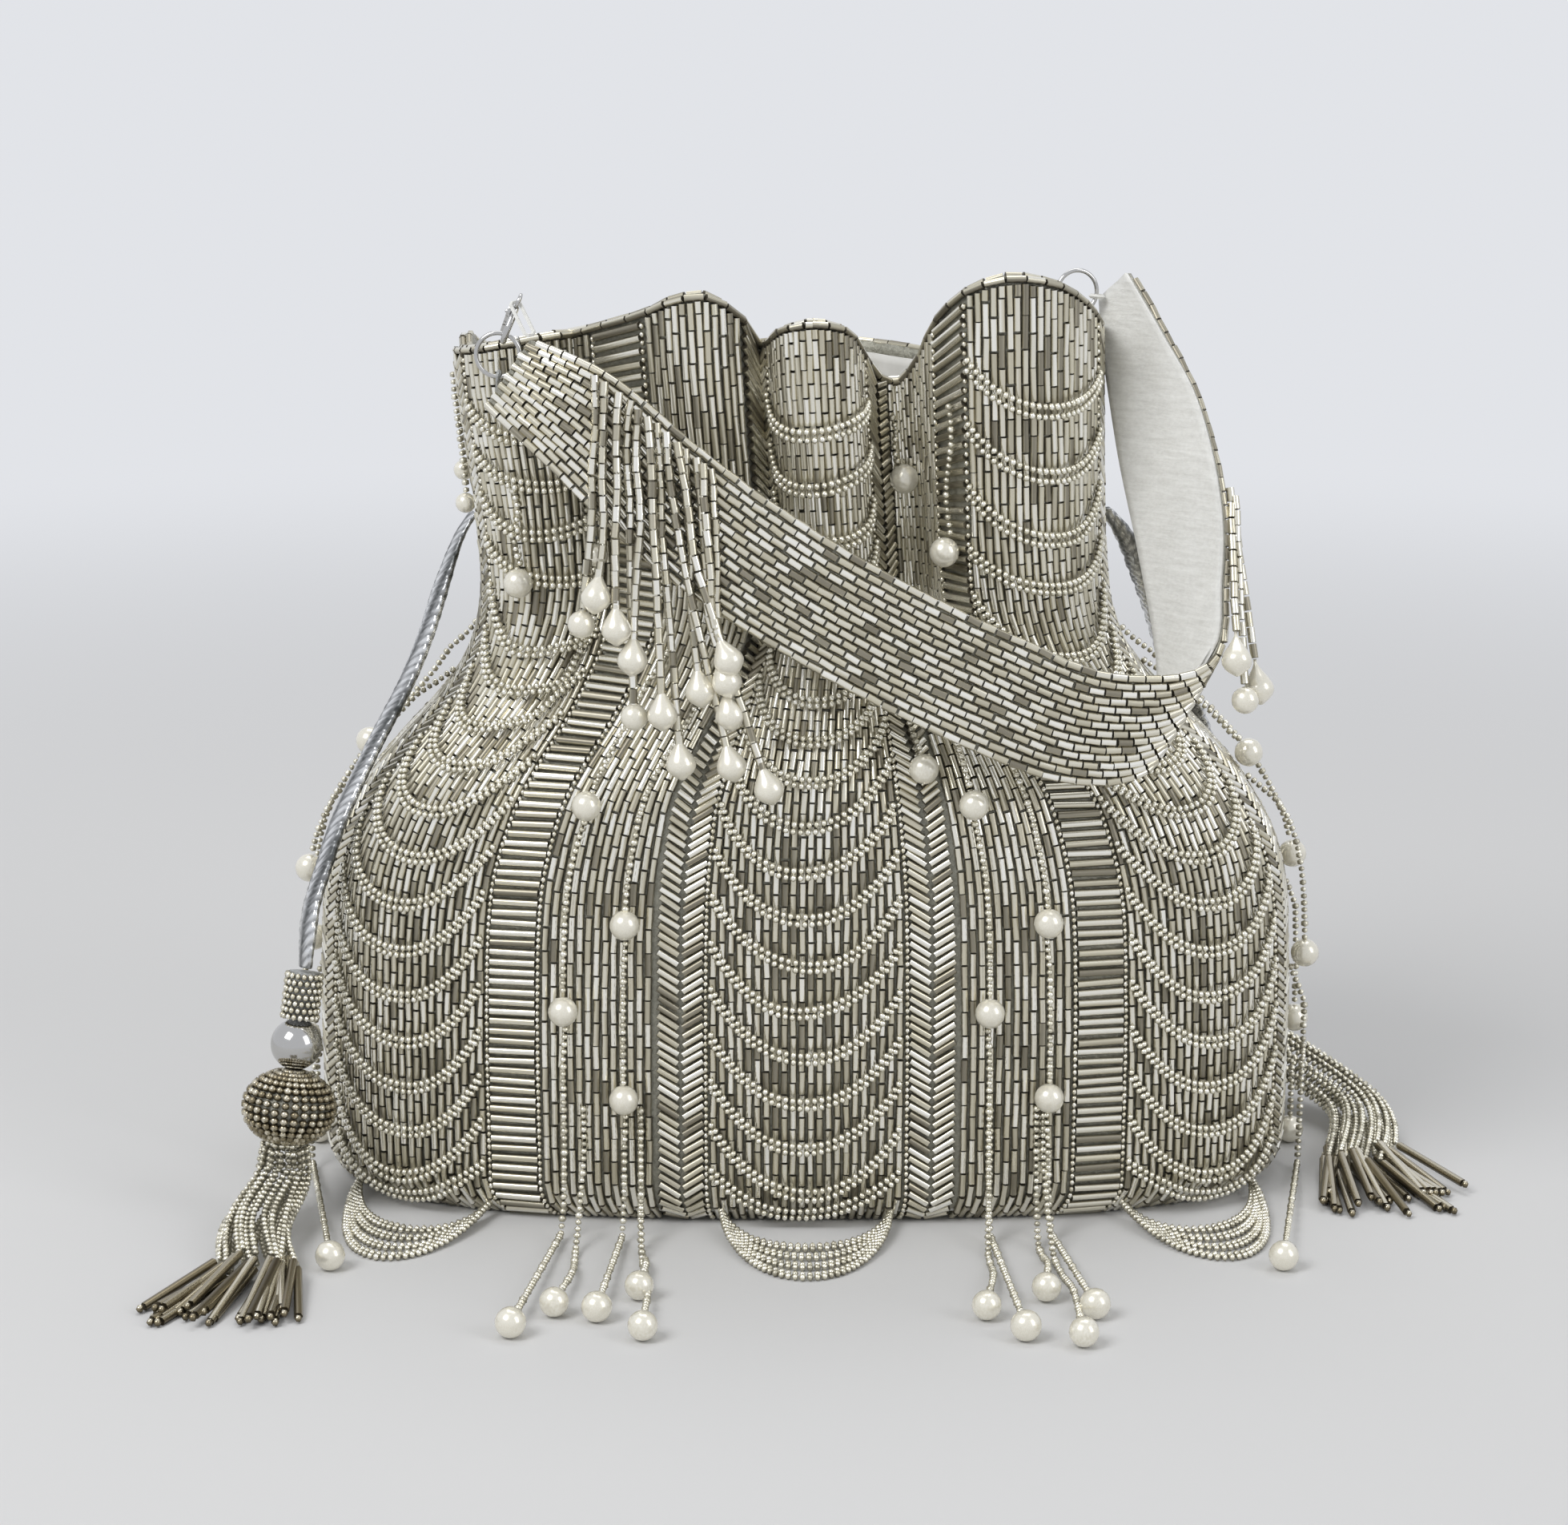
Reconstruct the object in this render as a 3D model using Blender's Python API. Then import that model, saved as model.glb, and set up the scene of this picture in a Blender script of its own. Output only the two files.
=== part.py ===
"""Beaded potli bag: a gathered drawstring pouch with a beaded shoulder strap, hanging bead
strands and two tassels. Metres, +Z up. The origin is the centre of the base on the floor, the
front of the bag faces -Y and +X is the right of someone who looks at the front."""

import math

import bmesh
import bpy
import numpy as np
from mathutils import Matrix, Vector

MM = 0.001

# Driving dimensions of the pouch, in millimetres
BASE_HALF_WIDTH = 135.0
BASE_HALF_DEPTH = 60.0
CORNER_POWER = 2.8
EDGE_RADIUS = 12.0
NECK_HEIGHT = 184.0
RIM_HEIGHT = 240.0
SHOULDER_START = 112.0
WALL = 2.0
CASING_GAP = 0.4
CORD_THICKNESS = 1.0
CORD_HEIGHT = 8.0
LINING = 0.8
LINING_FLOOR_GAP = 0.5
LINING_BELOW_RIM = 3.0
CLEARANCE = 0.35
INNER_LEVELS = (15.0, 98.0, 128.0, 155.0)

# Bead swags, in millimetres
SWAG_PITCH = 12.7
SWAG_SAG = 18.0
SWAG_HEIGHT = 2.4
LOWEST_SWAG = 20.0
TAIL_REACH = 40.0
TAIL_HEIGHT = 3.2
TAIL_EDGE = 0.7
TAIL_UNDERSIDE = 0.1
TAIL_WIDTH = 0.9
TAIL_SEAT_HEIGHT = 4.0
TAIL_SEAT_INSET = EDGE_RADIUS * 0.27
TAIL_STEPS = 6
TAIL_ROWS = ((0.42, 0.0), (0.55, 1.0), (0.68, 0.35), (0.82, 1.0), (1.0, 0.0))

# Pearls and strands, in millimetres
PEARL = 4.0
FOOT_HEIGHT = 18.0
LONG_CHAIN = (158.0, (116.0, 62.0))
SHORT_CHAIN = (146.0, (86.0, 38.0))
LONG_RUN = 72.0
SHORT_RUN = 60.0
SIDE_RUN = 84.0
SIDE_TURN = 98.0
FLOOR_BEND = 7.0
STRAND = 1.1
DROP = 3.7
DROP_LENGTH = 12.0

# Strap, in millimetres
STRAP_BEADS = 2.2
STRAP_LINING = 1.0

# Metal fittings, in millimetres
RING_RADIUS = 5.7
RING_WIRE = 0.6
HOOK_WIRE = 0.8
HOOK_TIP = 0.65
PIVOT_RADIUS = 0.5
PIVOT_CLEARANCE = 0.25
TRIGGER_RIM = 0.6
TRIGGER_THICKNESS = 0.8
TRIGGER_WIDTH = 1.1
TRIGGER_KNOB = 1.7
EYE_RADIUS = 1.8
EYE_WIRE = 0.5
TAB_WIRE = 0.6
TAB_RADIUS = 1.4

# Drawstring tassels, in millimetres
TAPE_RADIUS = 3.0
WRAP_RADIUS = 5.5
METAL_BALL = 7.0
WRAP_LENGTH = 13.0
BEADED_BALL = 13.0
BEADED_BALL_HEIGHT = 21.0
SKIRT_TOP = 6.5
SKIRT_BOTTOM = 10.5
SKIRT_DEPTH = 4.5
FAN_FINGERS = 8
FAN_LENGTH = 42.0
FAN_SPREAD = 38.0
FAN_BEAD = 2.6
FAN_UNDERSIDE = 0.15
FAN_ROOT = 0.85
FAN_NOTCH = 0.45
FAN_STAGGER = 0.12
SKIRT_SEAT = 0.8
SKIRT_HANG = 9.0
SKIRT_FLOOR_GAP = 0.8
SKIRT_BEND_RISE = 3.5
SKIRT_GROOVE = 0.08
BALL_SINK = 0.2
BALL_GROOVE = 0.06
WRAP_ENDS = (0.8, 0.7)
WRAP_SHOULDER = 3.0

# The panels of a quarter of the pouch from the front centre outwards: kind, width, columns
QUARTER = (
    ("swag", 28.0, 2),
    ("chevron", 14.0, 2),
    ("brick", 33.0, 2),
    ("ladder", 14.5, 1),
    ("side_swag", 53.0, 4),
    ("chevron", 14.0, 1),
    ("side_brick", 17.0, 1),
)
HALF_PERIMETER = 2 * sum(width for _, width, _ in QUARTER)

# Height, centre line, half width and half depth of the pouch
PROFILE = (
    (0.0, 0.0, BASE_HALF_WIDTH, BASE_HALF_DEPTH),
    (60.0, 0.0, BASE_HALF_WIDTH, BASE_HALF_DEPTH),
    (95.0, 0.0, BASE_HALF_WIDTH - 4.0, BASE_HALF_DEPTH - 1.0),
    (126.0, 0.0, BASE_HALF_WIDTH - 22.0, BASE_HALF_DEPTH - 4.0),
    (150.0, -2.0, BASE_HALF_WIDTH - 36.0, BASE_HALF_DEPTH - 9.0),
    (NECK_HEIGHT, -4.0, BASE_HALF_WIDTH - 47.0, BASE_HALF_DEPTH - 18.0),
    (RIM_HEIGHT, -7.5, BASE_HALF_WIDTH - 49.0, BASE_HALF_DEPTH - 16.0),
)

# The gathered outline of the front half: fabric distance from the front centre, x, y, rim height
GATHERS = (
    (-173.5, -85.5, 0.0, -8.0),
    (-158.0, -86.0, -13.0, -7.0),
    (-142.0, -82.5, -25.0, -6.0),
    (-124.0, -73.0, -31.0, -4.0),
    (-108.0, -61.0, -28.0, -2.0),
    (-98.0, -55.0, -19.0, -2.0),
    (-89.5, -48.5, -25.0, 0.0),
    (-75.0, -35.0, -38.0, 5.0),
    (-64.0, -27.0, -45.0, 9.0),
    (-53.0, -18.5, -46.0, 10.0),
    (-42.0, -10.5, -38.0, 4.0),
    (-35.0, -5.5, -29.0, -4.0),
    (-28.0, -2.0, -33.0, -3.0),
    (-14.0, 1.5, -43.0, 1.0),
    (0.0, 8.5, -47.0, 3.0),
    (14.0, 17.0, -42.0, 1.0),
    (28.0, 21.5, -31.0, -6.0),
    (38.0, 26.0, -23.0, -13.0),
    (50.0, 32.0, -18.0, -15.0),
    (62.0, 37.5, -23.0, -9.0),
    (75.0, 41.5, -34.0, 2.0),
    (89.5, 48.5, -45.0, 11.0),
    (104.0, 59.5, -48.0, 15.0),
    (119.0, 71.0, -42.0, 13.0),
    (133.0, 79.5, -31.0, 8.0),
    (147.0, 85.0, -18.0, 1.0),
    (160.0, 86.0, -8.0, -1.0),
)
# The back's rim repeats the front's, but lower and almost level
BACK_LOWER = 12.0
BACK_EVEN = 0.85
BACK_PLATEAU = 3.0
NECK_TAKE_IN = (0.98, 0.88)
RUFFLE_SHARES = (0.0, 0.4, 0.75, 1.0)
INNER_RUFFLE_SHARES = (0.0, 0.5, 1.0)
INNER_RIM_BELOW = 0.4

# Stations of the strap: centre with its height from the rim, width direction, half width
STRAP_ROUTE = (
    ((-77.7, -49.5, -9.6), (0.57, 0.07, 0.82), 10.6),
    ((-57.0, -57.0, -23.0), (0.46, 0.07, 0.89), 15.0),
    ((-35.0, -62.0, -42.0), (0.53, 0.06, 0.85), 16.0),
    ((-11.0, -66.0, -59.0), (0.57, 0.03, 0.82), 16.0),
    ((17.0, -69.0, -75.0), (0.55, 0.06, 0.83), 16.0),
    ((46.0, -71.0, -89.0), (0.50, 0.10, 0.86), 16.0),
    ((73.0, -72.0, -99.0), (0.38, 0.10, 0.92), 15.5),
    ((98.0, -66.0, -97.0), (0.49, 0.12, 0.86), 16.0),
    ((102.7, -50.5, -77.0), (0.48, -0.26, 0.84), 16.0),
    ((100.5, -38.0, -51.5), (0.60, -0.47, 0.64), 16.0),
    ((95.5, -24.0, -26.5), (0.68, -0.54, 0.50), 14.5),
    ((90.0, -13.0, -7.5), (0.64, -0.63, 0.45), 11.0),
    ((85.3, -4.4, 8.8), (0.50, -0.63, 0.59), 6.5),
)
STRAP_STEPS = 21

# Fringe strands of the strap: where each starts on it, how far it leans, and its end from the rim
FRINGES = {
    "fringe_front_1": (-52.0, -3.0, -64.0),
    "fringe_front_2": (-45.0, -4.0, -74.0),
    "fringe_front_3": (-37.0, -2.0, -90.0),
    "fringe_front_4": (-29.0, 5.0, -97.0),
    "fringe_front_5": (-21.0, 9.0, -111.0),
}
FRINGE_SHARES = (0.85, 0.2, -0.45, -1.1)
FRINGE_SEATS = (1.0, 1.5, 1.5, 1.5)
FRINGE_STAND = 3.0
SIDE_FRINGE_STATION = 15
SIDE_FRINGE_END = (117.0, -63.0, -92.0)

# Routes of the two drawstring tapes, from the neck to the bead wrap
TAPE_ROUTES = {
    "left": (
        (-91.3, -3.0, 187.0),
        (-95.6, -4.5, 180.0),
        (-100.0, -8.0, 168.0),
        (-104.5, -12.0, 154.0),
        (-110.0, -16.0, 141.0),
        (-119.0, -22.0, 124.0),
        (-127.0, -30.0, 107.0),
        (-131.0, -36.0, 95.0),
        (-134.0, -41.0, 85.0),
        (-135.0, -44.5, 76.0),
        (-135.5, -46.0, 69.0),
    ),
    "right": (
        (82.8, 2.0, 187.0),
        (87.7, 5.0, 181.0),
        (94.0, 11.0, 170.0),
        (100.0, 19.0, 156.0),
        (105.0, 28.0, 142.0),
        (111.0, 37.0, 127.0),
        (117.0, 45.0, 112.0),
        (122.0, 50.0, 98.0),
        (125.5, 53.0, 87.0),
        (127.0, 54.5, 79.0),
    ),
}
# Where each tassel hangs: the tape's end, the way it hangs, where its skirt bends and where it
# meets the floor, and the way in which its long beads lie
TASSELS = {
    "left": (
        (-135.6, -46.2, 68.4),
        (-0.12, -0.18, -0.97),
        (-146.0, -78.0),
        (-142.0, -100.0),
        (-0.22, -1.0),
    ),
    "right": (
        (127.1, 54.6, 78.4),
        (0.12, -0.03, -1.0),
        (162.0, 20.0),
        (155.0, -24.0),
        (0.12, -1.0),
    ),
}

PALETTE = {
    "glass_beads": ((0.62, 0.61, 0.53), 0.25, 0.6),
    "satin_lining": ((0.88, 0.87, 0.83), 0.55, 0.0),
    "pearl": ((0.90, 0.88, 0.80), 0.2, 0.0),
    "strap_silk": ((0.86, 0.86, 0.82), 0.6, 0.0),
    "chrome": ((0.75, 0.76, 0.78), 0.12, 1.0),
    "silver_tape": ((0.48, 0.50, 0.50), 0.4, 0.7),
}


def clear_scene():
    for obj in list(bpy.data.objects):
        bpy.data.objects.remove(obj, do_unlink=True)


def material(name):
    found = bpy.data.materials.get(name)
    if found:
        return found
    colour, roughness, metallic = PALETTE[name]
    made = bpy.data.materials.new(name)
    made.use_nodes = True
    shader = made.node_tree.nodes["Principled BSDF"]
    shader.inputs["Base Color"].default_value = (*colour, 1.0)
    shader.inputs["Roughness"].default_value = roughness
    shader.inputs["Metallic"].default_value = metallic
    return made


def add_mesh(name, points, faces, finish, smooth=True, triangulate=False):
    """Adds one closed body given in millimetres, with its faces turned outwards."""
    work = bmesh.new()
    corners = [work.verts.new(tuple(float(c) * MM for c in p)) for p in points]
    for face in faces:
        work.faces.new([corners[i] for i in face])
    if triangulate:
        bmesh.ops.triangulate(work, faces=work.faces[:])
    bmesh.ops.recalc_face_normals(work, faces=work.faces[:])
    mesh = bpy.data.meshes.new(name)
    work.to_mesh(mesh)
    work.free()
    mesh.materials.append(material(finish))
    if smooth:
        mesh.shade_smooth()
        mesh.set_sharp_from_angle(angle=math.radians(50))
    obj = bpy.data.objects.new(name, mesh)
    bpy.context.scene.collection.objects.link(obj)
    return obj


def ring_faces(first, second, count):
    """Quads between two rings of corners that start at the given numbers."""
    turns = [(i, (i + 1) % count) for i in range(count)]
    return [(first + i, first + j, second + j, second + i) for i, j in turns]


def slab_faces(outlines, count):
    """Faces of a flat slab: its outlines below, the same above, and walls along the free edges."""
    faces = []
    edges = {}
    for face in outlines:
        faces.append(face)
        faces.append(tuple(count + i for i in face))
        for start, end in zip(face, face[1:] + face[:1]):
            edges[frozenset((start, end))] = edges.get(frozenset((start, end)), 0) + 1
    for edge, uses in edges.items():
        if uses == 1:
            start, end = sorted(edge)
            faces.append((start, end, count + end, count + start))
    return faces


def smooth_step(value, low, high):
    share = min(max((value - low) / (high - low), 0.0), 1.0)
    return share * share * (3 - 2 * share)


def catmull(before, start, end, after, share):
    """The point at a share of the way from start to end on a Catmull-Rom curve."""
    a, b, c, d = (np.asarray(p, float) for p in (before, start, end, after))
    ramp = b + 0.5 * share * (c - a)
    bend = share * share * (a - 2.5 * b + 2 * c - 0.5 * d)
    twist = share**3 * (1.5 * b - 0.5 * a - 1.5 * c + 0.5 * d)
    return ramp + bend + twist


def open_curve(points, steps):
    """Points at even shares of a smooth curve through the given ones."""
    spans = len(points) - 1
    found = []
    for step in range(steps):
        place = step / (steps - 1) * spans
        span = min(int(place), spans - 1)
        pick = [points[min(max(span + k, 0), spans)] for k in (-1, 0, 1, 2)]
        found.append(catmull(*pick, place - span))
    return found


def profile_at(height):
    """Centre, half width and half depth of the pouch at a height."""
    heights = [row[0] for row in PROFILE]
    span = int(np.clip(np.searchsorted(heights, height) - 1, 0, len(PROFILE) - 2))
    last = len(PROFILE) - 1
    pick = [PROFILE[min(max(span + k, 0), last)][1:] for k in (-1, 0, 1, 2)]
    share = (height - heights[span]) / (heights[span + 1] - heights[span])
    return catmull(*pick, min(max(share, 0.0), 1.0))


def body_outline(half_width, half_depth, places):
    """Points of a rounded oblong at the given shares of its perimeter, from the front centre."""
    angles = np.linspace(0, 2 * math.pi, 1441)
    power = 2 / CORNER_POWER
    x = half_width * np.sign(np.sin(angles)) * np.abs(np.sin(angles)) ** power
    y = -half_depth * np.sign(np.cos(angles)) * np.abs(np.cos(angles)) ** power
    lengths = np.concatenate([[0], np.cumsum(np.hypot(np.diff(x), np.diff(y)))])
    wanted = (np.asarray(places) % 1.0) * lengths[-1]
    return np.stack([np.interp(wanted, lengths, x), np.interp(wanted, lengths, y)], axis=1)


def gathered(place):
    """x, y and rim height of the gathered outline at a fabric distance from the front centre."""
    whole = 2 * HALF_PERIMETER
    distance = (place + HALF_PERIMETER / 2) % whole
    back = distance >= HALF_PERIMETER
    distance = distance % HALF_PERIMETER - HALF_PERIMETER / 2
    starts = [row[0] for row in GATHERS] + [HALF_PERIMETER / 2]
    rows = [np.array(row[1:]) for row in GATHERS]
    flip = np.array([-1.0, -1.0, 1.0])
    rows = [rows[-1] * flip] + rows + [rows[0] * flip, rows[1] * flip]
    span = int(np.clip(np.searchsorted(starts, distance, side="right") - 1, 0, len(GATHERS) - 1))
    share = (distance - starts[span]) / (starts[span + 1] - starts[span])
    x, y, rise = catmull(*rows[span : span + 4], share)
    if back:
        even = min(1.0, BACK_PLATEAU * math.cos(distance / HALF_PERIMETER * math.pi))
        return -x, -y, rise * (1 - BACK_EVEN * even) - BACK_LOWER * even
    return x, y, rise


def column_places():
    """Fabric distances of the columns all round, each with its panel's kind and place across."""
    quarter = []
    start = 0.0
    for kind, width, columns in QUARTER:
        for step in range(columns):
            quarter.append((start + width * step / columns, kind, width, start))
        start += width
    places = []
    for turn in range(4):
        base = (turn + turn % 2) / 2 * HALF_PERIMETER
        if turn % 2 == 0:
            places += [(base + q[0], q) for q in quarter]
        else:
            ends = quarter[1:] + [(start, *quarter[-1][1:])]
            places += [(base - q[0], q) for q in reversed(ends)]
    return places


def swag_share(place):
    """How far a place is across a swag panel: 1 in its middle, 0 at its edges and outside."""
    half = HALF_PERIMETER
    near = abs((place + half / 2) % half - half / 2)
    if near <= QUARTER[0][1]:
        across = near / QUARTER[0][1]
        return 1 - across * across
    start = sum(width for _, width, _ in QUARTER[:4])
    width = QUARTER[4][1]
    if start < near < start + width:
        across = (near - start) / width * 2 - 1
        return 1 - across * across
    return 0.0


def outline_at(height, places, inset=0.0):
    """The pouch's outline at a height below the rim, pushed in by inset, as an array of x, y."""
    centre, half_width, half_depth = profile_at(min(height, RIM_HEIGHT))
    shares = [p / (2 * HALF_PERIMETER) for p in places]
    body = body_outline(half_width - inset, half_depth - inset, shares)
    body[:, 0] += centre
    weight = smooth_step(height, SHOULDER_START, NECK_HEIGHT - 8)
    if weight == 0:
        return body
    taken = np.array(NECK_TAKE_IN)
    taken += (1 - taken) * smooth_step(height, NECK_HEIGHT, RIM_HEIGHT)
    folds = np.array([gathered(p)[:2] for p in places]) * taken
    folds[:, 0] += centre
    return body * (1 - weight) + folds * weight


def pushed_in(outline, distance):
    """The outline moved inwards along its own normals."""
    ahead = np.roll(outline, -1, axis=0) - np.roll(outline, 1, axis=0)
    ahead /= np.linalg.norm(ahead, axis=1)[:, None]
    outward = np.stack([ahead[:, 1], -ahead[:, 0]], axis=1)
    return outline - outward * distance


def rim_height(place):
    return RIM_HEIGHT + gathered(place)[2]


def level_ring(height, places, depth_in=0.0):
    """A ring of corners at one height, or at the share above the neck of each column's rim."""
    outline = pushed_in(outline_at(height, places), depth_in)
    return np.column_stack([outline, np.full(len(places), float(height))])


def ruffle_ring(share, places, depth_in=0.0, below=0.0):
    """A ring above the neck: share 0 is the neck and share 1 the rim."""
    height = NECK_HEIGHT + (RIM_HEIGHT - NECK_HEIGHT) * share
    outline = pushed_in(outline_at(height, places), depth_in)
    tops = [rim_height(p) - below for p in places]
    rises = [NECK_HEIGHT + (top - NECK_HEIGHT) * share for top in tops]
    return np.column_stack([outline, rises])


def swag_ring(height, places, ridge):
    """A ring of the outer face that follows the bead swags and stands out on a ridge."""
    sag = min(SWAG_SAG, height - EDGE_RADIUS + 2.0)
    shares = [swag_share(p) for p in places]
    drops = [height - sag * share for share in shares]
    ring = np.empty((len(places), 3))
    for i, drop in enumerate(drops):
        neighbours = [places[i - 1], places[i], places[(i + 1) % len(places)]]
        outline = outline_at(drop, neighbours)
        stand = SWAG_HEIGHT * min(1.0, 3 * shares[i]) if ridge else 0.0
        ring[i, :2] = pushed_in(outline, -stand)[1]
        ring[i, 2] = drop
    return ring


def bottom_rings(places, inside=0.0):
    """The rounded lower edge, from the flat base up to the wall."""
    rings = []
    for inset, height in ((1.0, 0.0), (0.3, 0.25), (0.0, 1.0)):
        outline = outline_at(0.0, places, inset * EDGE_RADIUS + inside)
        heights = np.full(len(places), height * EDGE_RADIUS + inside)
        rings.append(np.column_stack([outline, heights]))
    return rings


def wall_body(name, outer, inner, finish):
    """One closed wall: outer rings from the base to the rim, inner rings back down."""
    count = len(outer[0])
    rings = outer + inner[::-1]
    points = np.concatenate(rings)
    faces = [tuple(range(count)), tuple(range(len(points) - count, len(points)))]
    for number in range(len(rings) - 1):
        faces += ring_faces(number * count, (number + 1) * count, count)
    return add_mesh(name, points, faces, finish, triangulate=True)


def build_pouch(places):
    outer = bottom_rings(places)
    swags = int((NECK_HEIGHT - LOWEST_SWAG) / SWAG_PITCH)
    for number in range(swags):
        height = LOWEST_SWAG + SWAG_PITCH * number
        outer.append(swag_ring(height, places, True))
        outer.append(swag_ring(height + SWAG_PITCH / 2, places, False))
    outer += [ruffle_ring(share, places) for share in RUFFLE_SHARES]
    inner = bottom_rings(places, WALL)[:1]
    inner += [level_ring(height, places, WALL) for height in INNER_LEVELS]
    inner += [ruffle_ring(share, places, WALL, INNER_RIM_BELOW) for share in INNER_RUFFLE_SHARES]
    wall_body("outer_shell", outer, inner, "glass_beads")

    lining_out = WALL + 2 * CASING_GAP + CORD_THICKNESS
    floor = WALL + LINING_FLOOR_GAP
    levels = (*INNER_LEVELS, NECK_HEIGHT - CORD_HEIGHT / 2, NECK_HEIGHT + CORD_HEIGHT / 2)
    faces = []
    for depth, lift in ((lining_out, 0.0), (lining_out + LINING, LINING)):
        rings = bottom_rings(places, floor + lift)[:1]
        rings += [level_ring(height + lift, places, depth) for height in levels]
        rings.append(ruffle_ring(1.0, places, depth, LINING_BELOW_RIM))
        faces.append(rings)
    wall_body("satin_lining", faces[0], faces[1], "satin_lining")

    near, far = WALL + CASING_GAP, WALL + CASING_GAP + CORD_THICKNESS
    low, high = NECK_HEIGHT - CORD_HEIGHT / 2, NECK_HEIGHT + CORD_HEIGHT / 2
    rings = [level_ring(h, places, d) for h, d in ((low, near), (high, near), (high, far), (low, far))]
    count = len(places)
    band = sum((ring_faces(k * count, (k + 1) % 4 * count, count) for k in range(4)), [])
    add_mesh("neck_drawcord", np.concatenate(rings), band, "silver_tape", triangulate=True)


def swept(name, route, radii, sides, finish):
    """A closed round body along a route, with a radius at each point."""
    points = []
    route = [Vector(p) for p in route]
    side = Vector((1.0, 0.3, 0.1))
    for i, place in enumerate(route):
        ahead = (route[min(i + 1, len(route) - 1)] - route[max(i - 1, 0)]).normalized()
        side = (side - ahead * side.dot(ahead)).normalized()
        across = ahead.cross(side)
        for k in range(sides):
            angle = 2 * math.pi * k / sides
            points.append(place + (side * math.cos(angle) + across * math.sin(angle)) * radii[i])
    last = len(points) - sides
    faces = [tuple(range(sides)), tuple(range(last, last + sides))]
    for i in range(len(route) - 1):
        faces += ring_faces(i * sides, (i + 1) * sides, sides)
    return add_mesh(name, points, faces, finish, triangulate=True)


def surface_point(place, height, stand):
    """A point that stands off the pouch's outer face, which is flat between two columns."""
    whole = 2 * HALF_PERIMETER
    columns = sorted(column % whole for column, _ in column_places())
    columns.append(columns[0] + whole)
    at = place % whole
    after = int(np.searchsorted(columns, at, side="right"))
    before, after = columns[after - 1], columns[after]
    near, far = outline_at(height, [before, after])
    share = (at - before) / (after - before)
    direction = (far - near) / np.linalg.norm(far - near)
    spot = near + (far - near) * share + np.array([direction[1], -direction[0]]) * stand
    return np.array([spot[0], spot[1], height])


def bead_sizes():
    """How far along its strand each ring of a pearl lies, and the ring's radius."""
    middle = PEARL * 0.55
    return ((-PEARL, STRAND), (-middle, PEARL * 0.8), (middle, PEARL * 0.8), (PEARL, STRAND))


def pearl_chain(name, place, top, floor_reach, turn, pearl_heights):
    """A bead strand down the face with pearls on it, ending with a pearl on the floor."""
    stand = PEARL + SWAG_HEIGHT
    route, radii = [], []
    stops = [top, *pearl_heights, FOOT_HEIGHT]
    for above, below in zip(stops, stops[1:]):
        for share in (0.0, 0.5) if above == top else (0.5,):
            height = above + (below - above) * share
            off = STRAND + 2 * CLEARANCE if share == 0.0 else stand
            route.append(surface_point(place, height, off))
            radii.append(STRAND)
        if below != FOOT_HEIGHT:
            for lift, size in bead_sizes():
                route.append(surface_point(place, below - lift, stand))
                radii.append(size)
    foot = surface_point(place, FOOT_HEIGHT, stand)
    outward = surface_point(place, FOOT_HEIGHT, stand + 1.0) - foot
    outward = np.array(Matrix.Rotation(math.radians(turn), 3, "Z") @ Vector(outward))
    floor = PEARL + 0.05
    route.append(foot)
    radii.append(STRAND)
    if floor_reach:
        route.append(foot + outward * FLOOR_BEND)
        route[-1][2] = floor
        radii.append(STRAND)
    for along, size in bead_sizes():
        route.append(foot + outward * (floor_reach + along) if floor_reach else foot.copy())
        route[-1][2] = floor - (0.0 if floor_reach else along)
        radii.append(size)
    return swept(name, route, radii, 4, "pearl")


def build_chains():
    brick = sum(width for _, width, _ in QUARTER[:2]) + QUARTER[2][1] / 2
    side = HALF_PERIMETER / 2
    column = QUARTER[2][1] / 4
    run = SIDE_RUN
    chains = {
        "front_left": (-brick, LONG_CHAIN, (LONG_RUN, 0.0), (SHORT_RUN, 0.0)),
        "front_right": (brick, LONG_CHAIN, (LONG_RUN, 0.0), (SHORT_RUN, 0.0)),
        "back_left": (HALF_PERIMETER + brick, LONG_CHAIN, (LONG_RUN, 0.0), (SHORT_RUN, 0.0)),
        "back_right": (HALF_PERIMETER - brick, LONG_CHAIN, (LONG_RUN, 0.0), (SHORT_RUN, 0.0)),
        "side_left": (-side, LONG_CHAIN, (0.0, 0.0), (run, SIDE_TURN)),
        "side_right": (side, LONG_CHAIN, (run, -SIDE_TURN), (0.0, 0.0)),
    }
    for panel, (middle, first, one, other) in chains.items():
        top, heights = first
        pearl_chain(f"pearl_strand_{panel}_a", middle - column, top, *one, heights)
        top, heights = SHORT_CHAIN
        pearl_chain(f"pearl_strand_{panel}_b", middle + column, top, *other, heights)


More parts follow.
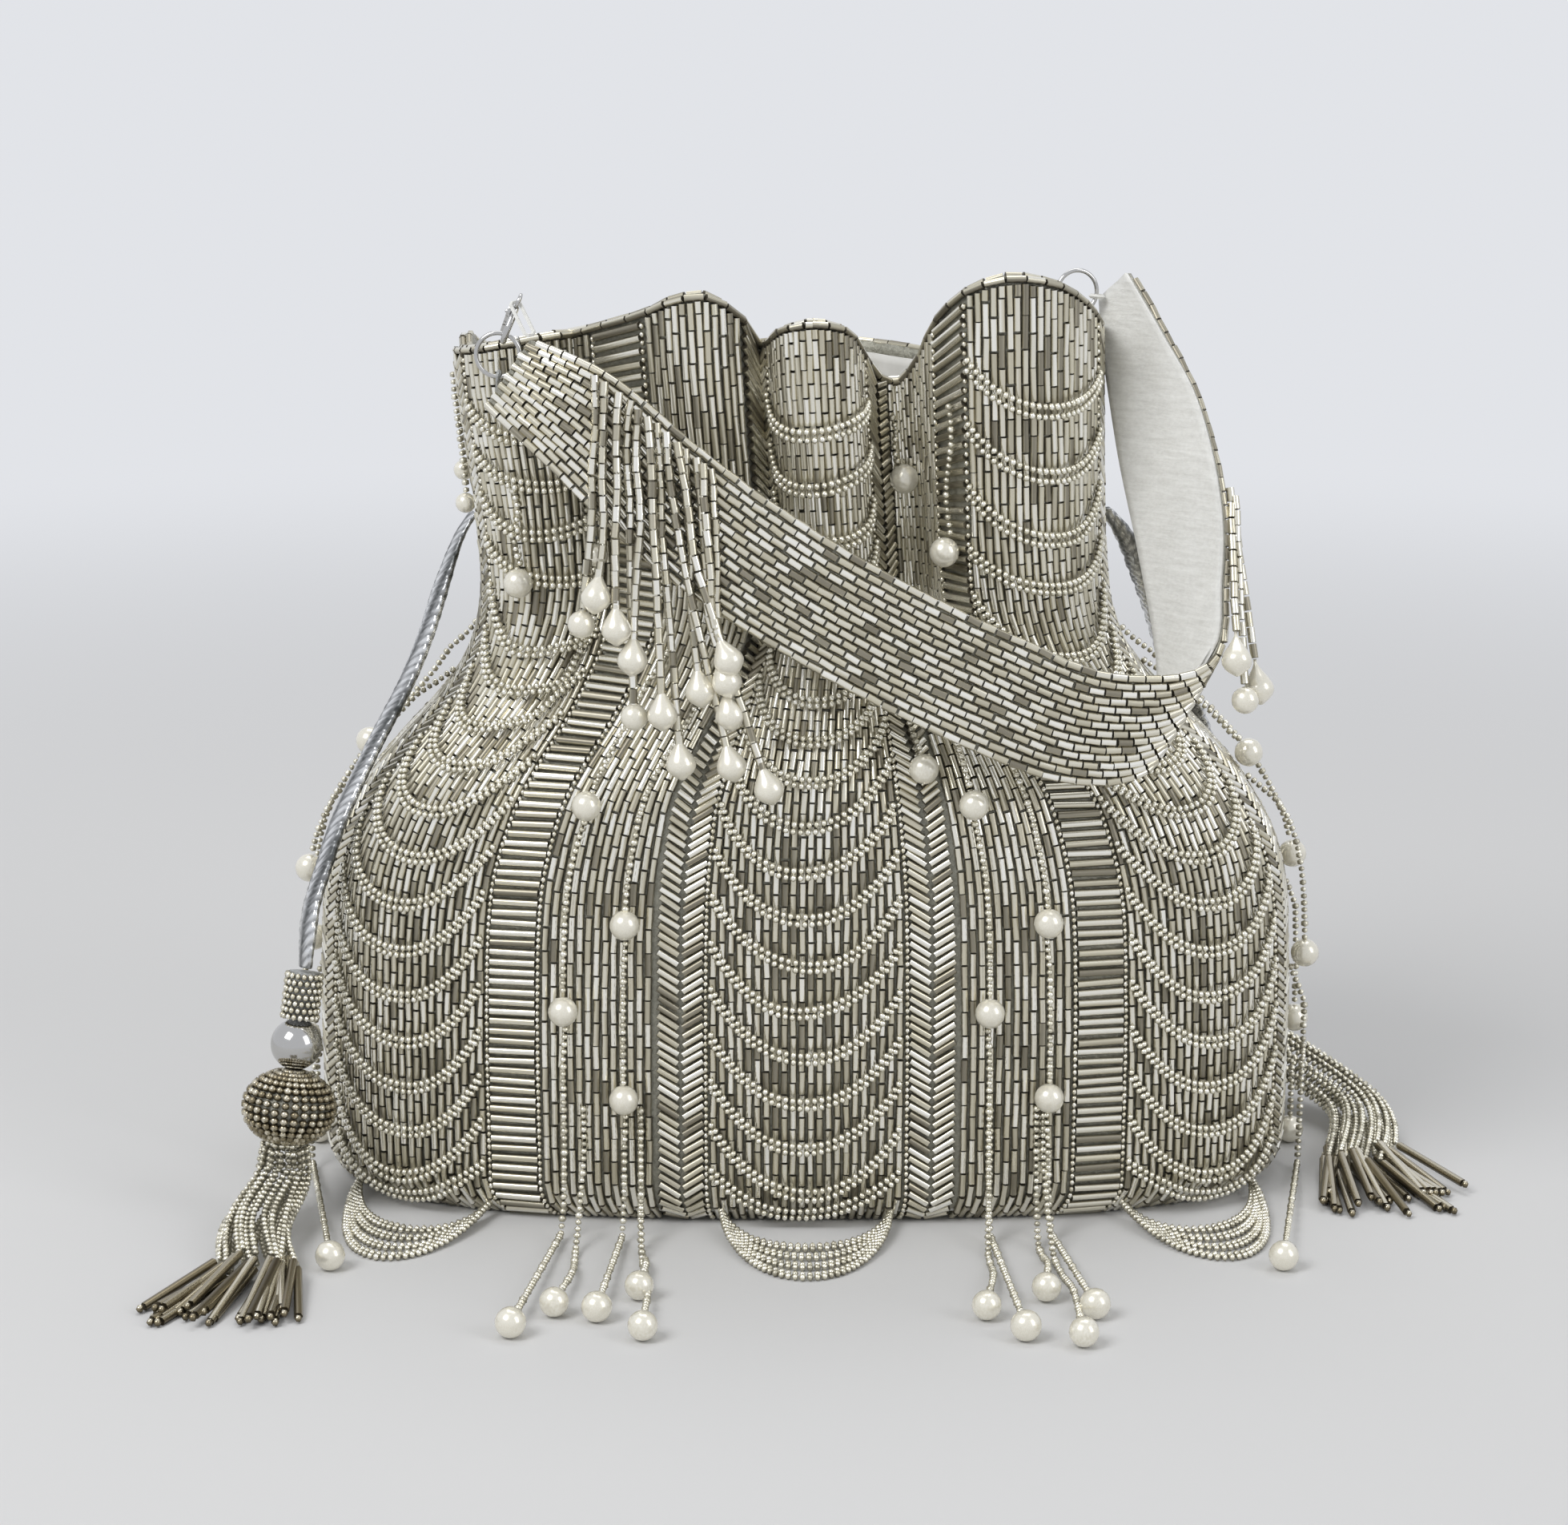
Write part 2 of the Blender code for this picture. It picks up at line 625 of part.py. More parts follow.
def swag_tail(name, middle, half_width, ahead):
    """The last bead loops of a swag panel, which lie on the floor in front of the base."""
    steps, rows = TAIL_STEPS, TAIL_ROWS
    level, inset = TAIL_SEAT_HEIGHT, CLEARANCE - TAIL_SEAT_INSET
    shares = [2 * k / steps - 1 for k in range(steps + 1)]
    foot = [surface_point(middle + half_width * share, level, inset) for share in shares]
    outward = surface_point(middle, level, 1.0) - surface_point(middle, level, 0.0)
    outward += np.array([0.0, ahead, 0.0])
    outward /= np.linalg.norm(outward)
    points = []
    for reach, lift in rows:
        for k, across in enumerate(shares):
            out = TAIL_REACH * reach * (1 - across * across) ** 0.6 + 2.2 * (reach - rows[0][0])
            spot = foot[k] + outward * out
            points.append((spot[0], spot[1], TAIL_EDGE + (TAIL_HEIGHT - TAIL_EDGE) * lift))
    base = len(points)
    wide = steps + 1
    for row in (0, len(rows) - 1):
        points += [(x, y, TAIL_UNDERSIDE) for x, y, _ in points[row * wide : (row + 1) * wide]]
    faces = []
    for row in range(len(rows) - 1):
        start = row * wide
        for k in range(start, start + steps):
            faces.append((k, k + 1, wide + k + 1, wide + k))
    last = (len(rows) - 1) * wide
    for k in range(steps):
        faces.append((base + k, base + wide + k, base + wide + k + 1, base + k + 1))
        faces.append((k, base + k, base + k + 1, k + 1))
        faces.append((last + k, last + k + 1, base + wide + k + 1, base + wide + k))
    for k in (0, steps):
        faces.append(tuple(row * wide + k for row in range(len(rows))) + (base + wide + k, base + k))
    return add_mesh(name, points, faces, "glass_beads", triangulate=True)


def build_tails():
    centre = QUARTER[0][1] * TAIL_WIDTH
    side = sum(width for _, width, _ in QUARTER[:4]) + QUARTER[4][1] / 2
    half = QUARTER[4][1] / 2 * TAIL_WIDTH
    swag_tail("swag_tail_front_centre", 0.0, centre, 0.0)
    swag_tail("swag_tail_front_left", -side, half, -1.0)
    swag_tail("swag_tail_front_right", side, half, -1.0)
    swag_tail("swag_tail_back_centre", HALF_PERIMETER, centre, 0.0)
    swag_tail("swag_tail_back_left", HALF_PERIMETER + side, half, 1.0)
    swag_tail("swag_tail_back_right", HALF_PERIMETER - side, half, 1.0)


def strap_stations():
    """Centre, width direction times half width and face normal along the strap."""
    rows = []
    for (x, y, from_rim), wide, half in STRAP_ROUTE:
        rows.append(np.array([x, y, RIM_HEIGHT + from_rim, *(np.array(wide) * half)]))
    rows = open_curve(rows, STRAP_STEPS)
    stations = []
    for i, row in enumerate(rows):
        ahead = rows[min(i + 1, len(rows) - 1)][:3] - rows[max(i - 1, 0)][:3]
        face = np.cross(ahead, row[3:])
        stations.append((row[:3], row[3:], face / np.linalg.norm(face)))
    return stations


def strap_layer(name, near, far, narrower, finish):
    """One layer of the strap between two depths behind its beaded face."""
    points = []
    stations = strap_stations()
    for centre, wide, face in stations:
        for side, depth in ((1, near), (1, far), (-1, far), (-1, near)):
            points.append(centre + wide * (side * narrower) - face * depth)
    faces = [(0, 1, 2, 3), tuple(len(points) - k for k in (4, 3, 2, 1))]
    for i in range(len(stations) - 1):
        faces += ring_faces(i * 4, (i + 1) * 4, 4)
    return add_mesh(name, points, faces, finish, triangulate=True)


def build_strap():
    strap_layer("strap_beaded_band", 0.0, STRAP_BEADS, 1.0, "glass_beads")
    lining_start = STRAP_BEADS + CLEARANCE
    strap_layer("strap_silk_lining", lining_start, lining_start + STRAP_LINING, 0.94, "strap_silk")
    for name, (start, lean, bottom) in FRINGES.items():
        fringe(name, start, lean, bottom)
    side_fringe()


def on_strap(start, across, stand):
    """The point of the strap's front run at one x, at a share across it, off its beaded face."""
    stations = strap_stations()[: STRAP_STEPS // 2]
    points = [centre + wide * across + face * stand for centre, wide, face in stations]
    xs, ys, zs = np.array(points).T
    return np.array([start, np.interp(start, xs, ys), np.interp(start, xs, zs)])


def hung(name, route):
    """A strand along a route that ends with a drop pearl."""
    end, above = Vector(route[-1]), Vector(route[-2])
    back = (above - end).normalized()
    route = route[:-1] + [end + back * DROP_LENGTH * share for share in (1.0, 0.45, 0.12, 0.0)]
    sizes = [STRAND] * (len(route) - 3) + [DROP * 0.9, DROP * 0.95, STRAND]
    swept(name, route, sizes, 5, "pearl")


def fringe(name, start, lean, bottom):
    """A strand sewn near the strap's upper edge that hangs over its beaded face."""
    stands = [(STRAND + CLEARANCE) * share for share in FRINGE_SEATS]
    route = [on_strap(start, share, stand) for share, stand in zip(FRINGE_SHARES, stands)]
    route.append(np.array([start + lean, route[-1][1] - FRINGE_STAND, RIM_HEIGHT + bottom]))
    hung(name, route)


def side_fringe():
    centre, wide, _ = strap_stations()[SIDE_FRINGE_STATION]
    top = centre + wide + wide / np.linalg.norm(wide) * (STRAND + CLEARANCE)
    x, y, from_rim = SIDE_FRINGE_END
    hung("fringe_side_1", [top, np.array([x, y, RIM_HEIGHT + from_rim])])


def ring_mesh(name, placing, radius, wire, around, sides, finish, stretch=0.0):
    """A closed wire ring in the local XZ plane, or a link when stretched along local Z."""
    points = []
    for i in range(around):
        angle = 2 * math.pi * (i + 0.5) / around
        outward = Vector((math.cos(angle), 0.0, math.sin(angle)))
        shift = Vector((0.0, 0.0, math.copysign(stretch / 2, outward.z)))
        for k in range(sides):
            turn = 2 * math.pi * k / sides
            reach = outward * (radius + wire * math.cos(turn)) + Vector((0, wire * math.sin(turn), 0))
            points.append(placing @ (reach + shift))
    faces = []
    for i in range(around):
        faces += ring_faces(i * sides, (i + 1) % around * sides, sides)
    return add_mesh(name, points, faces, finish)


def frame_of(origin, along, thick):
    """Placing matrix with local Z along one direction and local Y close to another."""
    along = Vector(along).normalized()
    thick = Vector(thick)
    thick = (thick - along * thick.dot(along)).normalized()
    across = thick.cross(along)
    turn = Matrix((across, thick, along)).transposed().to_4x4()
    return Matrix.Translation(Vector(origin)) @ turn


RINGS = {
    "left": ((-80.5, -41.5, RIM_HEIGHT - 6.0), (0.0, 1.0, 0.0)),
    "right": ((73.0, -8.0, RIM_HEIGHT + 7.6), (-0.3, 1.0, 0.0)),
}
LEFT_SEAT_PLACE = -128.0
LEFT_SEAT_BELOW_RIM = 18.0
RIGHT_SEAT_PLACE = 160.0
CLASP_ANGLE = 68.0
RIGHT_TAB_ANGLE = -14.0
RIGHT_SEAT_ANGLE = -55.0
WIRE_SEAT = Vector((0.45, 0.0, 1.0))
PIVOT = Vector((0.4, 0.0, -4.8))
TRIGGER_TIP = Vector((-2.7, 0.0, 0.8))
HOOK_ROUTE = (
    (0.0, 0.0, -6.6),
    (0.8, 0.0, -4.9),
    (2.0, 0.0, -2.8),
    (2.6, 0.0, -0.6),
    (2.3, 0.0, 1.6),
    (0.4, 0.0, 2.9),
    (-1.6, 0.0, 2.2),
    (-2.5, 0.0, 0.6),
)


def union(target, other):
    """Joins a helper body to an object with a Boolean, and hides the helper."""
    other.hide_render = True
    other.display_type = "WIRE"
    joined = target.modifiers.new("join", "BOOLEAN")
    joined.operation = "UNION"
    joined.solver = "EXACT"
    joined.object = other


def ring_spot(side, degrees):
    """A point of a ring's wire, and the directions away from its centre and round it."""
    centre, facing = RINGS[side]
    placing = frame_of(centre, (0.0, 0.0, 1.0), facing)
    angle = math.radians(degrees)
    turn = placing.to_3x3()
    outward = turn @ Vector((math.cos(angle), 0.0, math.sin(angle)))
    round_it = turn @ Vector((-math.sin(angle), 0.0, math.cos(angle)))
    return Vector(centre) + outward * RING_RADIUS, outward, round_it


def build_rings():
    for side, (centre, facing) in RINGS.items():
        placing = frame_of(centre, (0.0, 0.0, 1.0), facing)
        ring_mesh(f"ring_{side}", placing, RING_RADIUS, RING_WIRE, 14, 5, "chrome")


def build_clasp():
    """The trigger clasp that hooks the strap's left end to its ring."""
    spot, outward, round_it = ring_spot("left", CLASP_ANGLE)
    placing = frame_of(spot, -outward, round_it) @ Matrix.Translation(-WIRE_SEAT)
    route = [placing @ Vector(p) for p in open_curve(HOOK_ROUTE, 10)]
    body = swept("clasp_body", route, [HOOK_WIRE] * 9 + [HOOK_TIP], 6, "chrome")
    post_top = HOOK_WIRE + 3 * PIVOT_CLEARANCE + TRIGGER_THICKNESS
    post_route = [placing @ (PIVOT + Vector((0.0, y, 0.0))) for y in (0.0, post_top)]
    union(body, swept("post_helper", post_route, [PIVOT_RADIUS] * 2, 6, "chrome"))
    eye_drop = HOOK_ROUTE[0][2] - EYE_RADIUS + EYE_WIRE / 2
    eye_place = placing @ Matrix.Translation((0.0, 0.0, eye_drop))
    union(body, ring_mesh("eye_helper", eye_place, EYE_RADIUS, EYE_WIRE, 8, 4, "chrome"))
    build_trigger(placing)
    centre, wide, face = strap_stations()[0]
    seat = Vector(centre + wide - face * (STRAP_BEADS / 2) + wide / np.linalg.norm(wide) * CLEARANCE)
    eye = eye_place.translation
    hang = seat - eye
    hang -= round_it * hang.dot(round_it)
    link("strap_tab_left", eye + hang.normalized() * EYE_RADIUS, EYE_WIRE, seat, round_it, "strap_silk")


def link(name, wire, wire_size, seat, normal, finish):
    """A sewn oval loop that holds a wire at a point and ends at its seat."""
    towards = (seat - wire).normalized()
    stretch = (seat - wire).length - 2 * TAB_RADIUS + wire_size + CLEARANCE
    middle = seat - towards * (TAB_RADIUS + TAB_WIRE + stretch / 2)
    placing = frame_of(middle, towards, towards.cross(Vector(normal)))
    ring_mesh(name, placing, TAB_RADIUS, TAB_WIRE, 8, 4, finish, stretch)


def build_trigger(placing):
    """A flat lever round the clasp's post, with its tip beside the hook's and a thumb knob."""
    inner = PIVOT_RADIUS + PIVOT_CLEARANCE
    outer = inner + TRIGGER_RIM
    low = HOOK_WIRE + PIVOT_CLEARANCE
    high = low + TRIGGER_THICKNESS
    reach = TRIGGER_TIP - PIVOT
    heading = math.atan2(reach.z, reach.x)
    length = reach.length
    flat = []
    sides = 8
    for k in range(sides):
        angle = heading + 2 * math.pi * (k + 0.5) / sides
        flat.append((inner * math.cos(angle), inner * math.sin(angle)))
    for k in range(sides):
        angle = heading + 2 * math.pi * (k + 0.5) / sides
        flat.append((outer * math.cos(angle), outer * math.sin(angle)))
    along = (math.cos(heading), math.sin(heading))
    across = (-along[1], along[0])

    def on_arm(forward, aside):
        return (along[0] * forward + across[0] * aside, along[1] * forward + across[1] * aside)

    half = TRIGGER_WIDTH / 2
    arm = [on_arm(length * 0.42, half), on_arm(length * 0.42, -half)]
    knob = half + TRIGGER_KNOB
    arm += [on_arm(length * 0.5, knob), on_arm(length * 0.62, knob), on_arm(length * 0.68, half)]
    arm += [on_arm(length * 0.68, -half), on_arm(length, half * 0.8), on_arm(length, -half * 0.8)]
    flat += arm
    quads = [(k, (k + 1) % sides, sides + (k + 1) % sides, sides + k) for k in range(sides)]
    base = 2 * sides
    outlines = quads + [
        (sides + sides - 1, base + 1, base, sides),
        (base, base + 1, base + 5, base + 4),
        (base, base + 4, base + 3, base + 2),
        (base + 4, base + 5, base + 7, base + 6),
    ]
    points = []
    for y in (low, high):
        points += [placing @ (PIVOT + Vector((x, y, z))) for x, z in flat]
    return add_mesh("clasp_trigger", points, slab_faces(outlines, len(flat)), "chrome", smooth=False)


def build_tabs():
    """The loops that tie the rings to the pouch's rim, and the strap's right end to its ring."""
    wire, _, _ = ring_spot("left", -90.0)
    seat = Vector(surface_point(LEFT_SEAT_PLACE, RIM_HEIGHT - LEFT_SEAT_BELOW_RIM, 3 * CLEARANCE))
    link("ring_tab_left", wire, RING_WIRE, seat, RINGS["left"][1], "silver_tape")
    wire, _, _ = ring_spot("right", RIGHT_SEAT_ANGLE)
    seat = Vector(surface_point(RIGHT_SEAT_PLACE, RIM_HEIGHT, -WALL / 2))
    seat.z = rim_height(RIGHT_SEAT_PLACE) + CLEARANCE
    link("ring_tab_right", wire, RING_WIRE, seat, RINGS["right"][1], "silver_tape")
    wire, _, _ = ring_spot("right", RIGHT_TAB_ANGLE)
    centre, _, face = strap_stations()[-1]
    behind = STRAP_BEADS + STRAP_LINING + 2 * CLEARANCE
    seat = wire + Vector(face) * ((Vector(centre) - wire).dot(face) - behind)
    link("strap_tab_right", wire, RING_WIRE, seat, RINGS["right"][1], "strap_silk")


def tape(side, route):
    """The drawstring tape's plain round body, as a curve with filled caps."""
    curve = bpy.data.curves.new(f"drawstring_{side}", "CURVE")
    curve.dimensions = "3D"
    curve.bevel_depth = TAPE_RADIUS * MM
    curve.bevel_resolution = 2
    curve.use_fill_caps = True
    spline = curve.splines.new("POLY")
    points = open_curve([np.array(p) for p in route], 13)
    spline.points.add(len(points) - 1)
    for target, place in zip(spline.points, points):
        target.co = (*(float(c) * MM for c in place), 1.0)
    curve.materials.append(material("silver_tape"))
    obj = bpy.data.objects.new(f"drawstring_{side}", curve)
    bpy.context.scene.collection.objects.link(obj)
    return obj


def turned(name, origin, axis, stations, sides, finish, lobes=0.0):
    """A body turned about an axis from (distance, radius) pairs, with optional lobes."""
    placing = frame_of(origin, axis, (0.0, 1.0, 0.0))
    points = []
    for distance, radius in stations:
        for k in range(sides):
            angle = 2 * math.pi * k / sides
            size = radius * (1 - lobes * (k % 2))
            points.append(placing @ Vector((size * math.cos(angle), size * math.sin(angle), distance)))
    faces = [tuple(range(sides)), tuple(range(len(points) - sides, len(points)))]
    for i in range(len(stations) - 1):
        faces += ring_faces(i * sides, (i + 1) * sides, sides)
    return add_mesh(name, points, faces, finish, triangulate=True)


def ball_stations(start, radius, height, steps):
    """Distances and radii of a ball of the given height that starts at a distance."""
    angles = [math.pi * (k + 0.6) / (steps + 0.2) for k in range(steps)]
    return [(start + height / 2 * (1 - math.cos(a)), radius * math.sin(a)) for a in angles]


def skirt(side, start, axis, bend, foot):
    """The bell of seed strands below the beaded ball, which bends forward onto the floor."""
    end = Vector((foot[0], foot[1], SKIRT_DEPTH + SKIRT_FLOOR_GAP))
    hang = start + axis * SKIRT_HANG
    bend = Vector((bend[0], bend[1], SKIRT_DEPTH + SKIRT_BEND_RISE))
    route = open_curve([np.array(p) for p in (start, hang, bend, end)], 5)
    points = []
    sides = 12
    level = Vector((1.0, 0.0, 0.0))
    for i, place in enumerate(route):
        share = i / (len(route) - 1)
        place = Vector(place)
        ahead = Vector(route[min(i + 1, len(route) - 1)]) - Vector(route[max(i - 1, 0)])
        if i == 0:
            ahead = axis
        wide = (level - ahead * level.dot(ahead) / ahead.length_squared).normalized()
        tall = ahead.cross(wide).normalized()
        half_wide = SKIRT_TOP + (SKIRT_BOTTOM - SKIRT_TOP) * share
        half_tall = SKIRT_TOP + (SKIRT_DEPTH - SKIRT_TOP) * min(1.0, share * 4)
        for k in range(sides):
            angle = 2 * math.pi * k / sides
            reach = 1 - SKIRT_GROOVE * (k % 2)
            offset = wide * half_wide * math.cos(angle) + tall * half_tall * math.sin(angle)
            points.append(place + offset * reach)
    last = len(points) - sides
    faces = [tuple(range(sides)), tuple(range(last, last + sides))]
    for i in range(len(route) - 1):
        faces += ring_faces(i * sides, (i + 1) * sides, sides)
    add_mesh(f"tassel_skirt_{side}", points, faces, "glass_beads", triangulate=True)


def bead_fan(side, foot, heading):
    """The long tube beads at the tassel's end, fanned out on the floor."""
    heading = Vector((heading[0], heading[1])).normalized()
    start = Vector(foot) + heading * SKIRT_DEPTH * SKIRT_SEAT
    aside = Vector((-heading.y, heading.x))

    def place(share, forward):
        turn = math.radians(FAN_SPREAD / 2) * share
        way = heading * math.cos(turn) + aside * math.sin(turn)
        return start + aside * SKIRT_BOTTOM * FAN_ROOT * share + way * forward, way

    edges = [2 * k / FAN_FINGERS - 1 for k in range(FAN_FINGERS + 1)]
    flat = [place(share, 0.0)[0] for share in edges]
    flat += [place(share, FAN_LENGTH * FAN_NOTCH)[0] for share in edges]
    wide = FAN_FINGERS + 1
    outlines = []
    for k in range(FAN_FINGERS):
        tip, way = place((edges[k] + edges[k + 1]) / 2, FAN_LENGTH * (1 - FAN_STAGGER * (k % 2)))
        across = Vector((-way.y, way.x)) * FAN_BEAD / 2
        flat += [tip - across, tip + across]
        corner = 2 * wide + 2 * k
        outlines.append((k, k + 1, wide + k + 1, wide + k))
        outlines.append((wide + k, wide + k + 1, corner + 1, corner))
    count = len(flat)
    points = [(p.x, p.y, z) for z in (FAN_UNDERSIDE, FAN_UNDERSIDE + FAN_BEAD) for p in flat]
    add_mesh(f"tassel_bugles_{side}", points, slab_faces(outlines, count), "glass_beads", triangulate=True)


def build_tassel(side):
    origin, axis, bend, foot, heading = TASSELS[side]
    seat = CLEARANCE
    end = seat + WRAP_LENGTH
    stations = [
        (seat, WRAP_RADIUS * WRAP_ENDS[0]),
        (seat + WRAP_SHOULDER, WRAP_RADIUS),
        (end - WRAP_SHOULDER, WRAP_RADIUS),
        (end, WRAP_RADIUS * WRAP_ENDS[1]),
    ]
    turned(f"bead_wrap_{side}", origin, axis, stations, 10, "glass_beads")
    stations = ball_stations(end - BALL_SINK, METAL_BALL, 2 * METAL_BALL, 6)
    turned(f"metal_ball_{side}", origin, axis, stations, 10, "chrome")
    end += 2 * METAL_BALL
    stations = ball_stations(end - 2 * BALL_SINK, BEADED_BALL, BEADED_BALL_HEIGHT, 6)
    turned(f"beaded_ball_{side}", origin, axis, stations, 16, "glass_beads", BALL_GROOVE)
    end += BEADED_BALL_HEIGHT
    axis = Vector(axis).normalized()
    skirt(side, Vector(origin) + axis * end, axis, bend, foot)
    bead_fan(side, foot, heading)


def main():
    clear_scene()
    places = [place for place, _ in column_places()]
    build_pouch(places)
    build_chains()
    build_tails()
    build_strap()
    build_rings()
    build_clasp()
    build_tabs()
    for side, route in TAPE_ROUTES.items():
        tape(side, route)
        build_tassel(side)


main()
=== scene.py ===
# %% [markdown]
# # A beaded potli bag
# A potli is a gathered drawstring pouch. This one is covered in silver-lined glass beads, so most
# of what the eye sees is thousands of tubes and seeds in a strict pattern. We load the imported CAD
# model as a fixed frame first, because every piece below has to sit where its solid sits.

# %% Load the frame
import math

import bpy
import numpy as np
from mathutils import Matrix, Vector


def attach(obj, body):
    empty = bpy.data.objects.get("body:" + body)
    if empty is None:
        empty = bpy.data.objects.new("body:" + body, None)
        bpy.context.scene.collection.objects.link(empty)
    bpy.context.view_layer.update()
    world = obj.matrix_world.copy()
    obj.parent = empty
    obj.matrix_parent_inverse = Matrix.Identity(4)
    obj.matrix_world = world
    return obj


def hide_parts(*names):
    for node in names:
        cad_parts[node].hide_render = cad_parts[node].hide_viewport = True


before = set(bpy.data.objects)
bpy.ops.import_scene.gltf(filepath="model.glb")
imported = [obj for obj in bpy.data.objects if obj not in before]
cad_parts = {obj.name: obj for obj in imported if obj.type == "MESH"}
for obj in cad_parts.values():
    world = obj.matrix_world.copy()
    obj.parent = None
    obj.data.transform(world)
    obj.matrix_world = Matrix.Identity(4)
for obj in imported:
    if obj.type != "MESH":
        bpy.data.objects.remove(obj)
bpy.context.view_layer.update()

MM = 0.001
rng = np.random.default_rng(7)

# %% [markdown]
# ## Camera
# The photograph looks slightly down from about 0.9 m away through a long lens. Placing the camera
# first lets us judge every later piece from the view that matters most.

# %% Camera
camera_data = bpy.data.cameras.new("camera")
camera_data.lens = 74.23
camera_data.sensor_width = 36
camera = bpy.data.objects.new("camera", camera_data)
camera.location = (-0.006, -0.886, 0.320)
camera.rotation_euler = (math.radians(77), 0, 0)
bpy.context.scene.collection.objects.link(camera)
bpy.context.scene.camera = camera
bpy.context.scene.view_settings.view_transform = "Standard"
print("camera at", tuple(camera.location))

# %% [markdown]
# ## Shader maths in Python
# Every finish below is a small tree of nodes. Linking nodes by hand is slow to write and hard to
# read, so a small class wraps a socket, and plus, minus and times on it add the Math nodes. One
# method makes any other node, and one function starts a material with its fixed values.

# %% Shader helpers
class Link:
    """A value on its way through a node tree. Maths on it adds Math nodes."""

    def __init__(self, tree, socket=None):
        self.tree, self.socket = tree, socket

    def node(self, kind, settings=None, sockets=None, output=0):
        made = self.tree.nodes.new(kind)
        for key, value in (settings or {}).items():
            if key == "stops":
                ramp = made.color_ramp.elements
                while len(ramp) < len(value):
                    ramp.new(0.5)
                for stop, (place, colour) in zip(ramp, value):
                    stop.position, stop.color = place, (*colour, 1)
            else:
                setattr(made, key, value)
        for key, value in (sockets or {}).items():
            if isinstance(value, Link):
                value.feed(made, key)
            else:
                made.inputs[key].default_value = value
        return Link(self.tree, made.outputs[output])

    def feed(self, node, socket):
        self.tree.links.new(self.socket, node.inputs[socket])

    def maths(self, operation, *values):
        return self.node("ShaderNodeMath", {"operation": operation}, dict(enumerate(values)))

    def noise(self, scale, detail, place=None):
        where = {"Vector": place} if place else {}
        return self.node("ShaderNodeTexNoise", {}, {**where, "Scale": scale, "Detail": detail})

    def ramp(self, *stops):
        return self.node("ShaderNodeValToRGB", {"stops": stops}, {"Fac": self})

    def __add__(self, other):
        return self.maths("ADD", self, other)

    def __rsub__(self, other):
        return self.maths("SUBTRACT", other, self)

    def __mul__(self, other):
        return self.maths("MULTIPLY", self, other)

    __radd__, __rmul__ = __add__, __mul__


def finish(name, roughness, metallic=0, **constants):
    """A new material with its fixed values set on the shader, and a Link to start from."""
    made = bpy.data.materials.new(name)
    made.use_nodes = True
    shader = made.node_tree.nodes["Principled BSDF"]
    for key, value in {"Roughness": roughness, "Metallic": metallic, **constants}.items():
        shader.inputs[key.replace("_", " ")].default_value = value
    return made, Link(made.node_tree), shader


print("shader helpers ready")

# %% [markdown]
# ## Stage and light
# The bag stands on a plain pale floor. Glass beads show the room they stand in, so the light is
# three soft boxes over a grey world: the boxes give the sharp white glints, and the darker world
# between them gives the grey stripes. The world and the far floor turn pale only where the
# camera, a mirror or glass looks at them, so the background is white without more light on the bag.

# %% Stage and light
FLOOR_COLOUR, FLOOR_RADIUS, FLOOR_SIDES = (0.72, 0.72, 0.725, 1), 9, 96
BACKGROUND, ROOM_GREY = (0.76, 0.775, 0.81, 1), (0.4, 0.405, 0.41, 1)
PALE_FROM, PALE_TO = 0.3, 1.5
SOFT_BOXES = (
    ("key_box", (-1, -1, 1.5), (0, 0, 0.1), (0.9, 0.9), 16.5),
    ("fill_box", (1.4, -0.9, 0.9), (0, 0, 0.12), (0.7, 1.2), 6.5),
    ("top_box", (0.1, 0.5, 1.7), (0, 0, 0.1), (1.4, 0.8), 7),
)


def plainly_seen(start):
    """One for what the camera, a mirror or glass looks at, and nought for light on a surface."""
    camera_ray, glossy_ray, glass_ray = (start.node("ShaderNodeLightPath", output=f"Is {kind} Ray")
                                         for kind in ("Camera", "Glossy", "Transmission"))
    return start.maths("MAXIMUM", start.maths("MAXIMUM", camera_ray, glossy_ray), glass_ray)


for name, place, target, size, power in SOFT_BOXES:
    lamp = bpy.data.lights.new(name, "AREA")
    lamp.shape = "RECTANGLE"
    lamp.size, lamp.size_y = size
    lamp.energy = power
    holder = bpy.data.objects.new(name, lamp)
    holder.location = place
    holder.rotation_euler = (Vector(target) - Vector(place)).to_track_quat("-Z", "Y").to_euler()
    bpy.context.scene.collection.objects.link(holder)

world = bpy.data.worlds.new("studio")
bpy.context.scene.world = world
world.use_nodes = True
sky = Link(world.node_tree)
around = sky.node("ShaderNodeMix", {"data_type": "RGBA"},
                  {"Factor": plainly_seen(sky), "A": ROOM_GREY, "B": BACKGROUND}, 2)
around.feed(world.node_tree.nodes["Background"], "Color")

floor_mesh = bpy.data.meshes.new("floor")
floor_turns = np.linspace(0, math.tau, FLOOR_SIDES, endpoint=False)
floor_rim = [(FLOOR_RADIUS * math.cos(a), FLOOR_RADIUS * math.sin(a), 0) for a in floor_turns]
floor_mesh.from_pydata(floor_rim, [], [tuple(range(FLOOR_SIDES))])
floor = bpy.data.objects.new("floor", floor_mesh)
bpy.context.scene.collection.objects.link(floor)
floor_paint, ground, floor_shader = finish(
    "floor_paint", 0.9, Base_Color=FLOOR_COLOUR, Specular_IOR_Level=0.1)
spot = ground.node("ShaderNodeTexCoord", output=3)
away = ground.node("ShaderNodeVectorMath", {"operation": "LENGTH"}, {0: spot}, 1)
far = ground.node("ShaderNodeMapRange", {"interpolation_type": "SMOOTHSTEP"},
                  {"Value": away, "From Min": PALE_FROM, "From Max": PALE_TO})
glow = ground.node("ShaderNodeEmission", {}, {"Color": BACKGROUND, "Strength": 1})
matt = Link(ground.tree, floor_shader.outputs["BSDF"])
